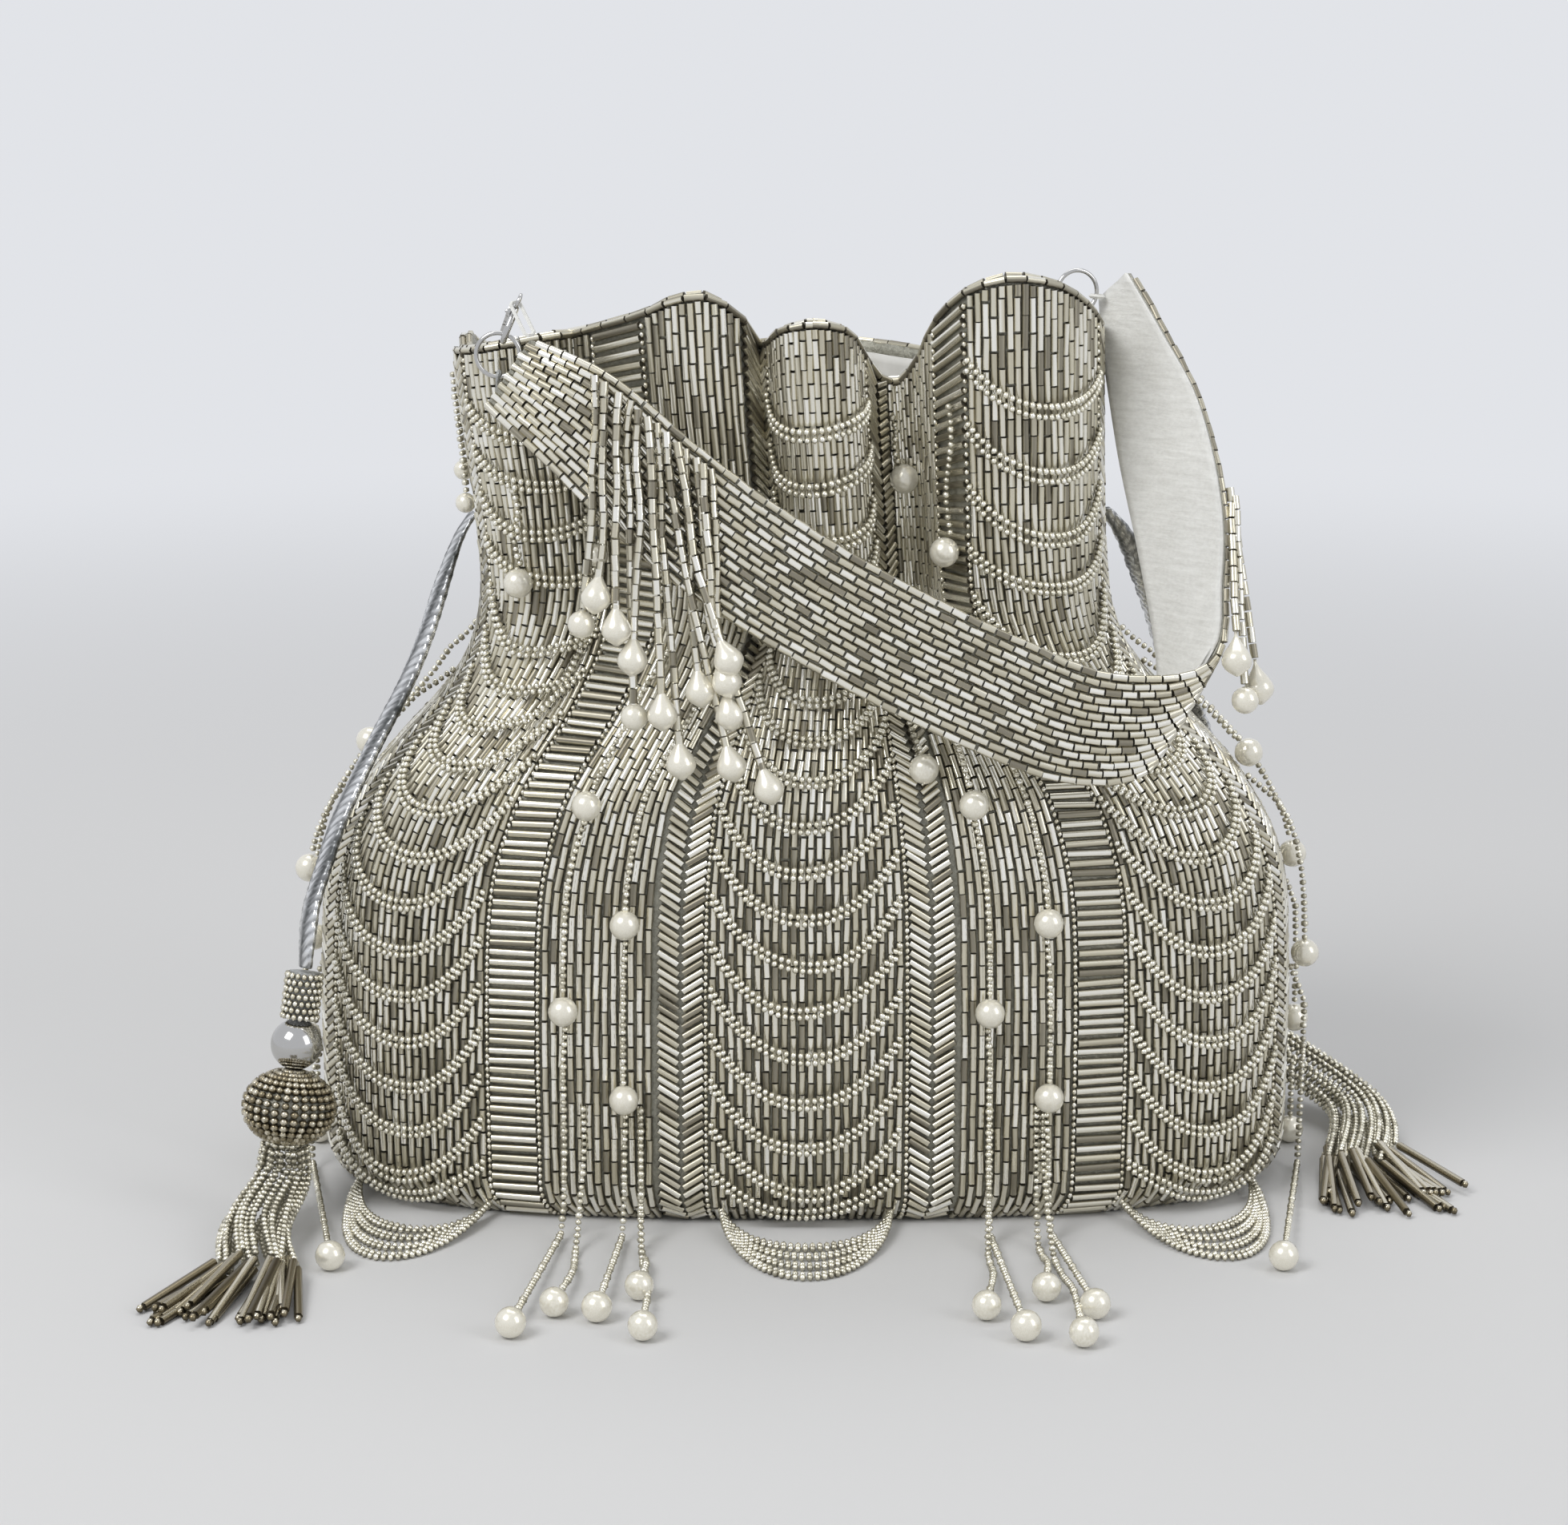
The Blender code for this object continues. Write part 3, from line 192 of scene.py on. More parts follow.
blended = ground.node("ShaderNodeMixShader", {}, {0: far * plainly_seen(ground), 1: matt, 2: glow})
blended.feed(ground.tree.nodes["Material Output"], "Surface")
floor_mesh.materials.append(floor_paint)

# %% [markdown]
# ## Mesh helpers
# Everything here is built from arrays of points in millimetres. One function turns arrays into a
# mesh object, and another sweeps a cross-section along a route. Beads come later as copies of a
# small template, which is far quicker than one object for each bead.

# %% Mesh helpers
def add_piece(name, points, faces, material, tones=None):
    """A mesh object from points in millimetres. Tones is one number a point, for the material."""
    mesh = bpy.data.meshes.new(name)
    mesh.from_pydata((np.asarray(points, float) * MM).tolist(), [], faces)
    mesh.materials.append(material)
    if tones is not None:
        held = mesh.attributes.new("tone", "FLOAT", "POINT")
        held.data.foreach_set("value", np.asarray(tones, np.float32))
    mesh.shade_smooth()
    piece = bpy.data.objects.new(name, mesh)
    bpy.context.scene.collection.objects.link(piece)
    return piece


def settle(piece, slot, *nodes):
    """Says that a piece rides the bag, and hides the solids it stands for. Its slot is not used."""
    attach(piece, "bag")
    if nodes:
        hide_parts(*nodes)
    return piece


def unit(vectors):
    vectors = np.asarray(vectors, float)
    return vectors / np.maximum(np.linalg.norm(vectors, axis=-1, keepdims=True), 1e-9)


def catmull_rows(keys, rows, at):
    """Rows at any keys, on a smooth curve through the given rows."""
    keys, rows = np.asarray(keys, float), np.asarray(rows, float)
    at = np.atleast_1d(np.asarray(at, float))
    last = len(keys) - 1
    span = np.clip(np.searchsorted(keys, at, side="right") - 1, 0, last - 1)
    share = np.clip((at - keys[span]) / (keys[span + 1] - keys[span]), 0, 1)[:, None]
    a, b, c, d = (rows[np.clip(span + k, 0, last)] for k in (-1, 0, 1, 2))
    bend = share**2 * (a - 2.5 * b + 2 * c - 0.5 * d)
    twist = share**3 * (1.5 * b - 0.5 * a - 1.5 * c + 0.5 * d)
    return b + 0.5 * share * (c - a) + bend + twist


def smooth_route(points, steps):
    """Evenly spread points of a smooth curve through the given ones."""
    points = np.asarray(points, float)
    return catmull_rows(np.arange(len(points)), points, np.linspace(0, len(points) - 1, steps))


def resample(points, spacing):
    """Points a fixed distance apart along a line, from its first point."""
    points = np.asarray(points, float)
    lengths = np.concatenate([[0], np.cumsum(np.linalg.norm(np.diff(points, axis=0), axis=1))])
    places = np.arange(0, lengths[-1] + 1e-6, spacing)
    return np.stack([np.interp(places, lengths, points[:, k]) for k in range(3)], axis=1)


def ring_faces(rows, columns):
    """Quads of a grid of points that is closed round its columns."""
    row = np.arange(rows - 1)[:, None] * columns
    first, after = row + np.arange(columns), row + (np.arange(columns) + 1) % columns
    return np.stack([first, after, after + columns, first + columns], axis=-1).reshape(-1, 4).tolist()


def tube_skin(rows, columns):
    """The quads of a tube of points, and a face at each of its ends."""
    count = rows * columns
    return ring_faces(rows, columns) + [list(range(columns))[::-1], list(range(count - columns, count))]


def circle(sides):
    """Cosines and sines of evenly spread angles."""
    angles = np.linspace(0, math.tau, sides, endpoint=False)
    return np.cos(angles), np.sin(angles)


def swept_tube(route, radii, sides, flat=1, side=(1, 0.3, 0.1)):
    """Points and faces of a closed tube along a route. Flat squashes it across its side."""
    route, side = np.asarray(route, float), np.asarray(side, float)
    ahead, radii = unit(np.gradient(route, axis=0)), np.broadcast_to(radii, len(route))
    cosines, sines = circle(sides)
    points = []
    for place, way, radius in zip(route, ahead, radii):
        side = unit(side - way * side.dot(way))
        ring = np.outer(cosines, side) + np.outer(sines, np.cross(way, side)) * flat
        points.append(place + ring * radius)
    return np.concatenate(points), tube_skin(len(route), sides)


print("helpers ready")

# %% [markdown]
# ## The shape of the pouch
# The solids of the pouch follow one formula: a rounded oblong below, blended above the shoulder
# into a wavy gathered outline. We repeat that formula here on a fine grid, so that every bead
# can ask for the point and the outward direction at a place on the cloth. A place is two
# numbers: the distance round the cloth from the front centre, and the height up it.

# %% The shape of the pouch
CORNER_POWER, EDGE_RADIUS = 2.8, 12
SHOULDER_START, SHOULDER_END, NECK_HEIGHT, RIM_HEIGHT = 112, 176, 184, 240
BACK_LOWER, BACK_EVEN, BACK_PLATEAU = 12, 0.85, 3
# Each strip of a quarter of the way round, and its width.
PANELS = (("swag", 28), ("chevron", 14), ("brick", 33), ("ladder", 14.5), ("side_swag", 53),
          ("chevron", 14), ("side_brick", 17))
HALF_ROUND = 2 * sum(width for _, width in PANELS)
WHOLE_ROUND = 2 * HALF_ROUND
# Height, shift to the side, half width and half depth.
PROFILE = ((0, 0, 135, 60), (60, 0, 135, 60), (95, 0, 131, 59), (126, 0, 113, 56), (150, -2, 99, 51),
           (NECK_HEIGHT, -4, 88, 42), (RIM_HEIGHT, -7.5, 86, 44))
# Distance round the cloth, x, y and rise of the rim.
GATHERS = (
    (-173.5, -85.5, 0, -8), (-158, -86, -13, -7), (-142, -82.5, -25, -6), (-124, -73, -31, -4),
    (-108, -61, -28, -2), (-98, -55, -19, -2), (-89.5, -48.5, -25, 0), (-75, -35, -38, 5),
    (-64, -27, -45, 9), (-53, -18.5, -46, 10), (-42, -10.5, -38, 4), (-35, -5.5, -29, -4),
    (-28, -2, -33, -3), (-14, 1.5, -43, 1), (0, 8.5, -47, 3), (14, 17, -42, 1), (28, 21.5, -31, -6),
    (38, 26, -23, -13), (50, 32, -18, -15), (62, 37.5, -23, -9), (75, 41.5, -34, 2), (89.5, 48.5, -45, 11),
    (104, 59.5, -48, 15), (119, 71, -42, 13), (133, 79.5, -31, 8), (147, 85, -18, 1), (160, 86, -8, -1),
)


def smooth_step(value, low, high):
    share = np.clip((np.asarray(value, float) - low) / (high - low), 0, 1)
    return share * share * (3 - 2 * share)


def oblong(half_width, half_depth, shares):
    """A rounded oblong at shares of its way round, from the front centre."""
    angles = np.linspace(0, math.tau, 1441)
    power = 2 / CORNER_POWER
    x = half_width * np.sign(np.sin(angles)) * np.abs(np.sin(angles)) ** power
    y = -half_depth * np.sign(np.cos(angles)) * np.abs(np.cos(angles)) ** power
    lengths = np.concatenate([[0], np.cumsum(np.hypot(np.diff(x), np.diff(y)))])
    wanted = (shares % 1) * lengths[-1]
    return np.stack([np.interp(wanted, lengths, x), np.interp(wanted, lengths, y)], axis=1)


def gathered(places):
    """x, y and rim rise of the gathered outline at distances round the cloth."""
    rows = np.array([row[1:] for row in GATHERS])
    flip = np.array([-1, -1, 1])
    keys = np.array([row[0] for row in GATHERS])
    keys = np.concatenate([[keys[-1] - HALF_ROUND], keys, keys[:2] + HALF_ROUND])
    rows = np.concatenate([rows[-1:] * flip, rows, rows[:2] * flip])
    turned = (np.asarray(places, float) + HALF_ROUND / 2) % WHOLE_ROUND
    back = turned >= HALF_ROUND
    distance = turned % HALF_ROUND - HALF_ROUND / 2
    found = catmull_rows(keys, rows, distance)
    even = np.minimum(1, BACK_PLATEAU * np.cos(distance / HALF_ROUND * math.pi))[back]
    found[back] *= flip
    found[back, 2] = found[back, 2] * (1 - BACK_EVEN * even) - BACK_LOWER * even
    return found


def outline_at(height, places, inset=0):
    """x and y of the outline at one height, at distances round the cloth."""
    keys, rows = [row[0] for row in PROFILE], [row[1:] for row in PROFILE]
    centre, half_width, half_depth = catmull_rows(keys, rows, height)[0]
    body = oblong(half_width - inset, half_depth - inset, places / WHOLE_ROUND)
    body[:, 0] += centre
    weight = smooth_step(height, SHOULDER_START, SHOULDER_END)
    above = smooth_step(height, NECK_HEIGHT, RIM_HEIGHT)
    folds = gathered(places)[:, :2] * (0.98 + 0.02 * above, 0.88 + 0.12 * above)
    folds[:, 0] += centre
    return body * (1 - weight) + folds * weight


def cloth_grid(columns, rows):
    """Points of the pouch's outer face on a grid of heights and distances round it."""
    rises = gathered(columns)[:, 2]
    points = np.empty((len(rows), len(columns), 3))
    for i, height in enumerate(rows):
        low = min(height / EDGE_RADIUS, 1)
        inset = EDGE_RADIUS * (1 - math.sqrt(1 - (1 - low) ** 2))
        points[i, :, :2] = outline_at(height, columns, inset)
        share = max(0, (height - NECK_HEIGHT) / (RIM_HEIGHT - NECK_HEIGHT))
        points[i, :, 2] = height + share * rises
    return points


def outward_of(points):
    """Outward unit directions of a grid that is closed round its columns."""
    along = np.roll(points, -1, axis=1) - np.roll(points, 1, axis=1)
    return unit(np.cross(along, np.gradient(points, axis=0)))


print("half the outline follows", len(GATHERS), "points and the whole is", round(WHOLE_ROUND), "mm round")

# %% [markdown]
# ## Places on the cloth
# The outline is worked out once, on a grid of one millimetre, and kept with its outward
# directions. Every bead then looks its place up in the grid, which is quick for thousands of
# them. Rows of beads lie a fixed distance apart along the cloth, not in height, so we also note
# how far up the cloth each height is.

# %% Places on the cloth
round_places = np.arange(0, WHOLE_ROUND, 1)
heights = np.concatenate([np.linspace(0, EDGE_RADIUS, 13), np.arange(EDGE_RADIUS + 1, RIM_HEIGHT + 0.5)])
cloth_points = cloth_grid(round_places, heights)
cloth_outward = outward_of(cloth_points)
climb = np.linalg.norm(np.diff(cloth_points, axis=0), axis=2).mean(axis=1)
climbed = np.concatenate([[0], np.cumsum(climb)])


def on_cloth(places, levels, stand=0):
    """Points that stand off the cloth, and the outward directions there."""
    places, levels = np.broadcast_arrays(np.asarray(places, float) % WHOLE_ROUND, np.asarray(levels, float))
    rows = np.interp(levels, heights, np.arange(len(heights)))
    low = np.clip(rows.astype(int), 0, len(heights) - 2)
    up = (rows - low)[..., None]
    left = np.clip(places.astype(int), 0, len(round_places) - 1)
    right = (left + 1) % len(round_places)
    over = ((places - left) / np.where(right == 0, WHOLE_ROUND - left, 1))[..., None]

    def mixed(grid):
        below = grid[low, left] * (1 - over) + grid[low, right] * over
        above = grid[low + 1, left] * (1 - over) + grid[low + 1, right] * over
        return below * (1 - up) + above * up

    outward = unit(mixed(cloth_outward))
    return mixed(cloth_points) + outward * np.asarray(stand, float)[..., None], outward


def level_of(climb_distance):
    """The height that lies a distance up the cloth."""
    return np.interp(climb_distance, climbed, heights)


print("cloth is", round(WHOLE_ROUND), "mm round and", round(climbed[-1]), "mm up")

# %% [markdown]
# ## Finishes
# Silver-lined glass looks metallic: a mirror seen through a thin tinted wall. A bead shows a
# bright line where it faces out and a dark line where the lining's hole shows; both are painted,
# so each bead carries a number called tone on its points, a painted highlight and painted shade,
# and the finish turns tone into colour and roughness. Pearl is a pale, soft gloss. The cloths get
# a weave and slubs from noise.

# %% Finishes
def bead_finish(name, *colours):
    """Glass over silver: tone, with its painted highlight and shade, picks one of three colours, and how
    sharp the mirror is.
    """
    made, start, shader = finish(name, 0.16, 0.85)
    tone = start.node("ShaderNodeAttribute", {"attribute_name": "tone"}, {}, 2)
    tone.ramp(*zip((0, 0.5, 1), colours)).feed(shader, "Base Color")
    (0.42 - 0.3 * tone).feed(shader, "Roughness")
    return made


# Each of these finishes runs from a colour for painted shade, through its own colour, to a colour for painted
# highlight.
glass_bead = bead_finish("silver_lined_glass", (0.12, 0.105, 0.08), (0.66, 0.62, 0.49), (1, 0.985, 0.92))
pale_bead = bead_finish("pale_seed_glass", (0.26, 0.24, 0.18), (0.85, 0.815, 0.68), (1, 0.985, 0.92))
dusky_bead = bead_finish("dusky_glass", (0.045, 0.036, 0.022), (0.27, 0.23, 0.15), (0.84, 0.79, 0.66))
braid_metal = bead_finish("braid_metal", (0.07, 0.075, 0.075), (0.33, 0.335, 0.34), (0.86, 0.87, 0.88))

pearl_paint, start, shader = finish("pearl_lacquer", 0.24, 0.35, Coat_Weight=0.8, Coat_Roughness=0.08)
start.noise(260, 2).ramp((0.3, (0.84, 0.8, 0.67)), (0.7, (0.96, 0.93, 0.83))).feed(shader, "Base Color")

chrome, start, shader = finish("nickel_plate", 0.08, 1)
wear = start.noise(900, 3)
wear.ramp((0, (0.42, 0.415, 0.405)), (1, (0.66, 0.655, 0.64))).feed(shader, "Base Color")
(0.05 + 0.1 * wear).feed(shader, "Roughness")


def cloth_finish(name, dark, pale, scale, stretch, bump, roughness, metallic=0):
    """Cloth whose threads come from noise drawn out one way, in colour and in bump."""
    made, start, shader = finish(name, roughness, metallic, Sheen_Weight=0.3)
    place = start.node("ShaderNodeTexCoord", output=3)
    drawn = start.node("ShaderNodeMapping", {}, {"Vector": place, "Scale": stretch})
    threads = 0.65 * start.noise(scale, 4, drawn) + 0.35 * start.noise(3 * scale, 2, place)
    threads.ramp((0.3, dark), (0.7, pale)).feed(shader, "Base Color")
    relief = start.node("ShaderNodeBump", {}, {"Height": threads, "Strength": bump, "Distance": 0.0006})
    relief.feed(shader, "Normal")
    return made


satin = cloth_finish("ivory_satin", (0.72, 0.71, 0.67), (0.84, 0.83, 0.8), 120, (1, 1, 0.2), 0.35, 0.42)
raw_silk = cloth_finish("raw_silk", (0.76, 0.755, 0.72), (0.93, 0.93, 0.9), 300, (0.4, 0.4, 2.5), 0.7, 0.75)
net_cloth = cloth_finish("metal_net", (0.24, 0.235, 0.19), (0.46, 0.45, 0.38), 900, (1, 1, 1), 0.8, 0.45, 0.5)
lurex = cloth_finish("lurex_braid", (0.13, 0.135, 0.13), (0.62, 0.63, 0.62), 1500, (1, 1, 0.35), 1, 0.36, 0.8)


def dress(node, material):
    """Gives a solid that stays in view its finish."""
    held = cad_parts[node].data.materials
    held.clear()
    held.append(material)


print("finishes", [m.name for m in bpy.data.materials])

# %% [markdown]
# ## Bead templates
# A tube bead is a six-sided prism with its own end caps, so that the caps can carry painted shade,
# dark like the hole. A seed bead is a ball of twenty triangles. Both are stored once, and one
# function copies a template to thousands of places, each with an axis, an outward direction, a
# length and a radius. The tone of each point is painted highlight and painted shade by where it
# lies round the bead, times a tone for the whole bead, because no two real beads catch the light
# alike.

# %% Bead templates
TUBE_SIDES = 6
tube_angles = (np.arange(TUBE_SIDES) + 0.5) * math.tau / TUBE_SIDES
tube_ring = np.stack([0 * tube_angles, np.cos(tube_angles), np.sin(tube_angles)], axis=1)
tube_points = np.concatenate([tube_ring + (end, 0, 0) for end in (-0.5, 0.5, -0.5, 0.5)])
tube_faces = ring_faces(2, TUBE_SIDES) + [list(range(12, 18))[::-1], list(range(18, 24))]
# Five ways that light falls round a tube, and how often each comes.
TUBE_HIGHLIGHT_AND_SHADE = np.array([
    (1.00, 0.55, 0.12, 0.10, 0.40, 0.95),
    (0.95, 0.20, 0.10, 0.20, 0.60, 1.00),
    (0.60, 0.50, 0.15, 0.10, 0.55, 0.62),
    (0.25, 0.85, 0.30, 0.10, 0.75, 0.15),
    (0.50, 0.15, 0.10, 0.10, 0.70, 0.95),
])
# The caps at a tube's ends get painted shade, dark like its hole.
TONE_SHARES, HOLE_PAINTED_SHADE = (0.30, 0.22, 0.22, 0.12, 0.14), 0.08
cap_painted_shade = np.full_like(TUBE_HIGHLIGHT_AND_SHADE, HOLE_PAINTED_SHADE)
tube_painted_shading = np.concatenate([TUBE_HIGHLIGHT_AND_SHADE, TUBE_HIGHLIGHT_AND_SHADE, cap_painted_shade, cap_painted_shade], axis=1)

golden = (1 + math.sqrt(5)) / 2
seed_points = unit(np.array([
    (-1, golden, 0), (1, golden, 0), (-1, -golden, 0), (1, -golden, 0),
    (0, -1, golden), (0, 1, golden), (0, -1, -golden), (0, 1, -golden),
    (golden, 0, -1), (golden, 0, 1), (-golden, 0, -1), (-golden, 0, 1),
]))
seed_faces = [
    (0, 11, 5), (0, 5, 1), (0, 1, 7), (0, 7, 10), (0, 10, 11), (1, 5, 9), (5, 11, 4),
    (11, 10, 2), (10, 7, 6), (7, 1, 8), (3, 9, 4), (3, 4, 2), (3, 2, 6), (3, 6, 8),
    (3, 8, 9), (4, 9, 5), (2, 4, 11), (6, 2, 10), (8, 6, 7), (9, 8, 1),
]
# Painted light on a seed: a painted highlight where it faces out, and painted shade on its far side.
seed_painted_shading = 0.12 + 0.88 * np.clip(0.45 + 0.65 * seed_points[:, 1], 0, 1) ** 1.6
FULL_TONE, WIDE_TONE = (0.6, 1), (0.3, 1)
WANDER, OVER_FLOOR, SHARP_EDGE = 0.09, 0.05, math.radians(66)


class Beads:
    """Collects tubes and seeds, and makes one mesh of them."""

    def __init__(self):
        self.points, self.faces, self.tones, self.count = [], [], [], 0

    def copy(self, template, faces, centres, axes, outward, lengths, radii, tones):
        """Copies of a template, its x along each axis and its y outward, and none under the floor."""
        count, size = len(centres), len(template)
        aside = unit(np.cross(axes, outward))
        outward = np.cross(aside, axes)
        spread = template[None, :, :]
        points = centres[:, None, :] + spread[..., 0:1] * (axes * lengths[:, None])[:, None, :]
        across = spread[..., 1:2] * outward[:, None, :] + spread[..., 2:3] * aside[:, None, :]
        points = points + across * radii[:, None, None]
        sunk = np.maximum(OVER_FLOOR - points[..., 2].min(axis=1), 0)
        points[..., 2] += sunk[:, None]
        start = self.count + np.arange(count)[:, None] * size
        for face in faces:
            self.faces += (start + np.asarray(face)[None, :]).tolist()
        self.points.append(points.reshape(-1, 3))
        self.tones.append(tones.reshape(-1))
        self.count += count * size

    def tubes(self, starts, ends, outward, radius, gap=0.5, tone=FULL_TONE):
        """Tube beads from start to end points, with a small gap between neighbours."""
        starts, ends, outward = (np.atleast_2d(np.asarray(p, float)) for p in (starts, ends, outward))
        starts = starts + rng.normal(0, WANDER, starts.shape)
        ends = ends + rng.normal(0, WANDER, ends.shape)
        span = ends - starts
        lengths = np.maximum(np.linalg.norm(span, axis=1) - gap, 0.5)
        kinds = rng.choice(len(TUBE_HIGHLIGHT_AND_SHADE), len(starts), p=TONE_SHARES)
        whole = rng.uniform(*tone, len(starts))
        radii = radius * rng.uniform(0.94, 1.04, len(starts))
        self.copy(tube_points, tube_faces, (starts + ends) / 2, unit(span), outward, lengths, radii,
                  tube_painted_shading[kinds] * whole[:, None])

    def seeds(self, centres, outward, radius, along=None, tone=(0.5, 1), squash=0.85):
        """Seed beads: slightly flat balls whose holes point along the thread."""
        centres, outward = np.atleast_2d(centres), np.atleast_2d(np.asarray(outward, float))
        along = np.cross(outward, (0.12, 0.35, 1)) if along is None else along
        outward = np.broadcast_to(outward, centres.shape)
        blind = np.abs((unit(along) * unit(outward)).sum(axis=1)) > 0.8
        outward = np.where(blind[:, None], (0.05, -0.1, 1), outward)
        radii = radius * rng.uniform(0.92, 1.06, len(centres))
        whole = rng.uniform(*tone, len(centres))
        self.copy(seed_points, seed_faces, centres, unit(along), outward, radii * squash, radii,
                  seed_painted_shading * whole[:, None])

    def strung(self, centres, outward, radius, **looks):
        """Seed beads whose thread runs from each one to the next."""
        self.seeds(centres, outward, radius, np.gradient(centres, axis=0), **looks)

    def piece(self, name, *nodes, material=glass_bead):
        """All the beads as one settled piece, which may stand for nodes."""
        points, tones = np.concatenate(self.points), np.concatenate(self.tones)
        made = add_piece(name, points, self.faces, material, tones)
        made.data.set_sharp_from_angle(angle=SHARP_EDGE)
        print(name, "has", sum(len(face) - 2 for face in self.faces), "triangles")
        return settle(made, "glass_beads", *nodes)


print("templates ready")

# %% [markdown]
# ## The cloth under the beads
# Between the beads a dull metallic net shows. It is one wall: up the outside, over the rim and
# down the inside. The lining inside it is ivory satin, which shows in the open mouth.

# %% The cloth under the beads
WALL, CLOTH_STEP, BASE_RINGS = 2, 3, 7
LINING_DEPTH, LINING_WALL, LINING_BELOW_RIM, LINING_FLOOR = 3.2, 0.8, 3, 3.3


def pushed(points, depth):
    """A closed ring of points moved inwards in its own plane."""
    ahead = unit((np.roll(points, -1, axis=0) - np.roll(points, 1, axis=0)) * (1, 1, 0))
    return points - np.stack([ahead[:, 1], -ahead[:, 0], 0 * ahead[:, 0]], axis=1) * depth


def walls(name, rings, material, slot, node):
    """One closed wall through rings of the cloth, from its underside round to its inside."""
    faces = tube_skin(len(rings), len(rings[0]))
    settle(add_piece(name, np.concatenate(rings), faces, material), slot, node)


cloth_columns = np.arange(0, WHOLE_ROUND, 2)
cloth_rows = np.concatenate([np.linspace(0, EDGE_RADIUS, BASE_RINGS),
                             np.arange(EDGE_RADIUS + CLOTH_STEP, RIM_HEIGHT + 0.5, CLOTH_STEP)])
outer_rings = list(cloth_grid(cloth_columns, cloth_rows))
inner_rings = [pushed(ring, WALL) for ring in outer_rings[:BASE_RINGS - 1:-1]]
walls("pouch_cloth", outer_rings + inner_rings, net_cloth, "glass_beads", "outer_shell")

lining_rings = [pushed(ring, LINING_DEPTH) - (0, 0, LINING_BELOW_RIM * (ring[0, 2] > NECK_HEIGHT))
                for ring in outer_rings[BASE_RINGS:]]
lining_rings.insert(0, lining_rings[0] * (1, 1, 0) + (0, 0, LINING_FLOOR))
lining_back = [pushed(ring, LINING_WALL) for ring in lining_rings]
lining_back[0] = lining_back[0] + (0, 0, LINING_WALL)
walls("mouth_lining", lining_rings + lining_back[::-1], satin, "satin_lining", "satin_lining")
dress("neck_drawcord", lurex)
print("cloth rows", len(cloth_rows), "columns", len(cloth_columns))

# %% [markdown]
# ## Bead panels
# Twenty-four strips run up the cloth. Brick strips are upright tubes, staggered like bricks.
# Chevron strips are two columns of slanted tubes that meet in a V. Ladder strips are long level
# tubes. A line of seeds closes each strip at both edges, and tubes lie along the rim.

# %% Bead panels
TUBE_RADIUS, TUBE_LENGTH, COLUMN_PITCH, TUBE_STAND = 1, 6.5, 2.45, 0.8
SEED_RADIUS, SEED_STAND = 0.92, 1.1
LOWEST_ROW, HIGHEST_ROW, STRIP_MARGIN = 7, climbed[-1] - 1.4, 0.8
CHEVRON_RISE, CHEVRON_PITCH, CHEVRON_RADIUS = 3.6, 2.5, 0.98
LADDER_PITCH, LADDER_RADIUS, LADDER_TONE = 2.75, 1.08, (0.62, 0.92)
RIM_TUBE = 6.4


def panel_edges():
    """Kind, start and end round the cloth of each strip, in all four quarters."""
    for middle, sign in ((0, 1), (0, -1), (HALF_ROUND, 1), (HALF_ROUND, -1)):
        start = 0
        for kind, width in PANELS:
            yield kind, middle + sign * start, middle + sign * (start + width)
            start += width


def brick_strip(beads, start, end, margin):
    """Columns of upright tubes from a strip's inner edge outwards. Margin is bare cloth at that edge."""
    way = 1 if end > start else -1
    wide = abs(end - start) - margin - STRIP_MARGIN
    columns = round(wide / COLUMN_PITCH)
    for number in range(columns):
        place = start + way * (margin + (number + 0.5) * wide / columns)
        odd = (number + (way > 0)) % 2
        climb_at = np.arange(LOWEST_ROW - TUBE_LENGTH / 2 * odd, HIGHEST_ROW - 1.5, TUBE_LENGTH)
        climb_to = np.minimum(climb_at + TUBE_LENGTH, HIGHEST_ROW)
        climb_at = np.maximum(climb_at, LOWEST_ROW - 0.5)
        bottoms, _ = on_cloth(place, level_of(climb_at), TUBE_STAND)
        tops, _ = on_cloth(place, level_of(climb_to), TUBE_STAND)
        _, outward = on_cloth(place, level_of(climb_at + TUBE_LENGTH / 2))
        beads.tubes(bottoms, tops, outward, TUBE_RADIUS)


def slanted_strip(beads, start, end, rise, pitch, radius, tone=FULL_TONE):
    """Tubes that run from one edge of a strip to the other and climb by a rise."""
    edge = 0.5 if end > start else -0.5
    climb_at = np.arange(LOWEST_ROW, HIGHEST_ROW - rise, pitch)
    near, _ = on_cloth(start + edge, level_of(climb_at), 1)
    far, _ = on_cloth(end - edge, level_of(climb_at + rise), 1)
    _, outward = on_cloth((start + end) / 2, level_of(climb_at + rise / 2))
    beads.tubes(near, far, outward, radius, tone=tone)


def seed_line(beads, place):
    climb_at = np.arange(LOWEST_ROW - 2, HIGHEST_ROW, 2 * SEED_RADIUS)
    centres, outward = on_cloth(place, level_of(climb_at), SEED_STAND)
    beads.seeds(centres, outward, SEED_RADIUS)


bricks, slants, lines = Beads(), Beads(), Beads()
for kind, start, end in panel_edges():
    if kind == "chevron":
        for edge in (start, end):
            slanted_strip(slants, (start + end) / 2, edge, CHEVRON_RISE, CHEVRON_PITCH, CHEVRON_RADIUS)
        seed_line(lines, start)
    elif kind == "ladder":
        slanted_strip(slants, start, end, 0, LADDER_PITCH, LADDER_RADIUS, LADDER_TONE)
        seed_line(lines, start)
        seed_line(lines, end)
    else:
        brick_strip(bricks, start, end, 0 if kind == "swag" else STRIP_MARGIN)
for middle in (-HALF_ROUND / 2, HALF_ROUND / 2):
    seed_line(lines, middle)

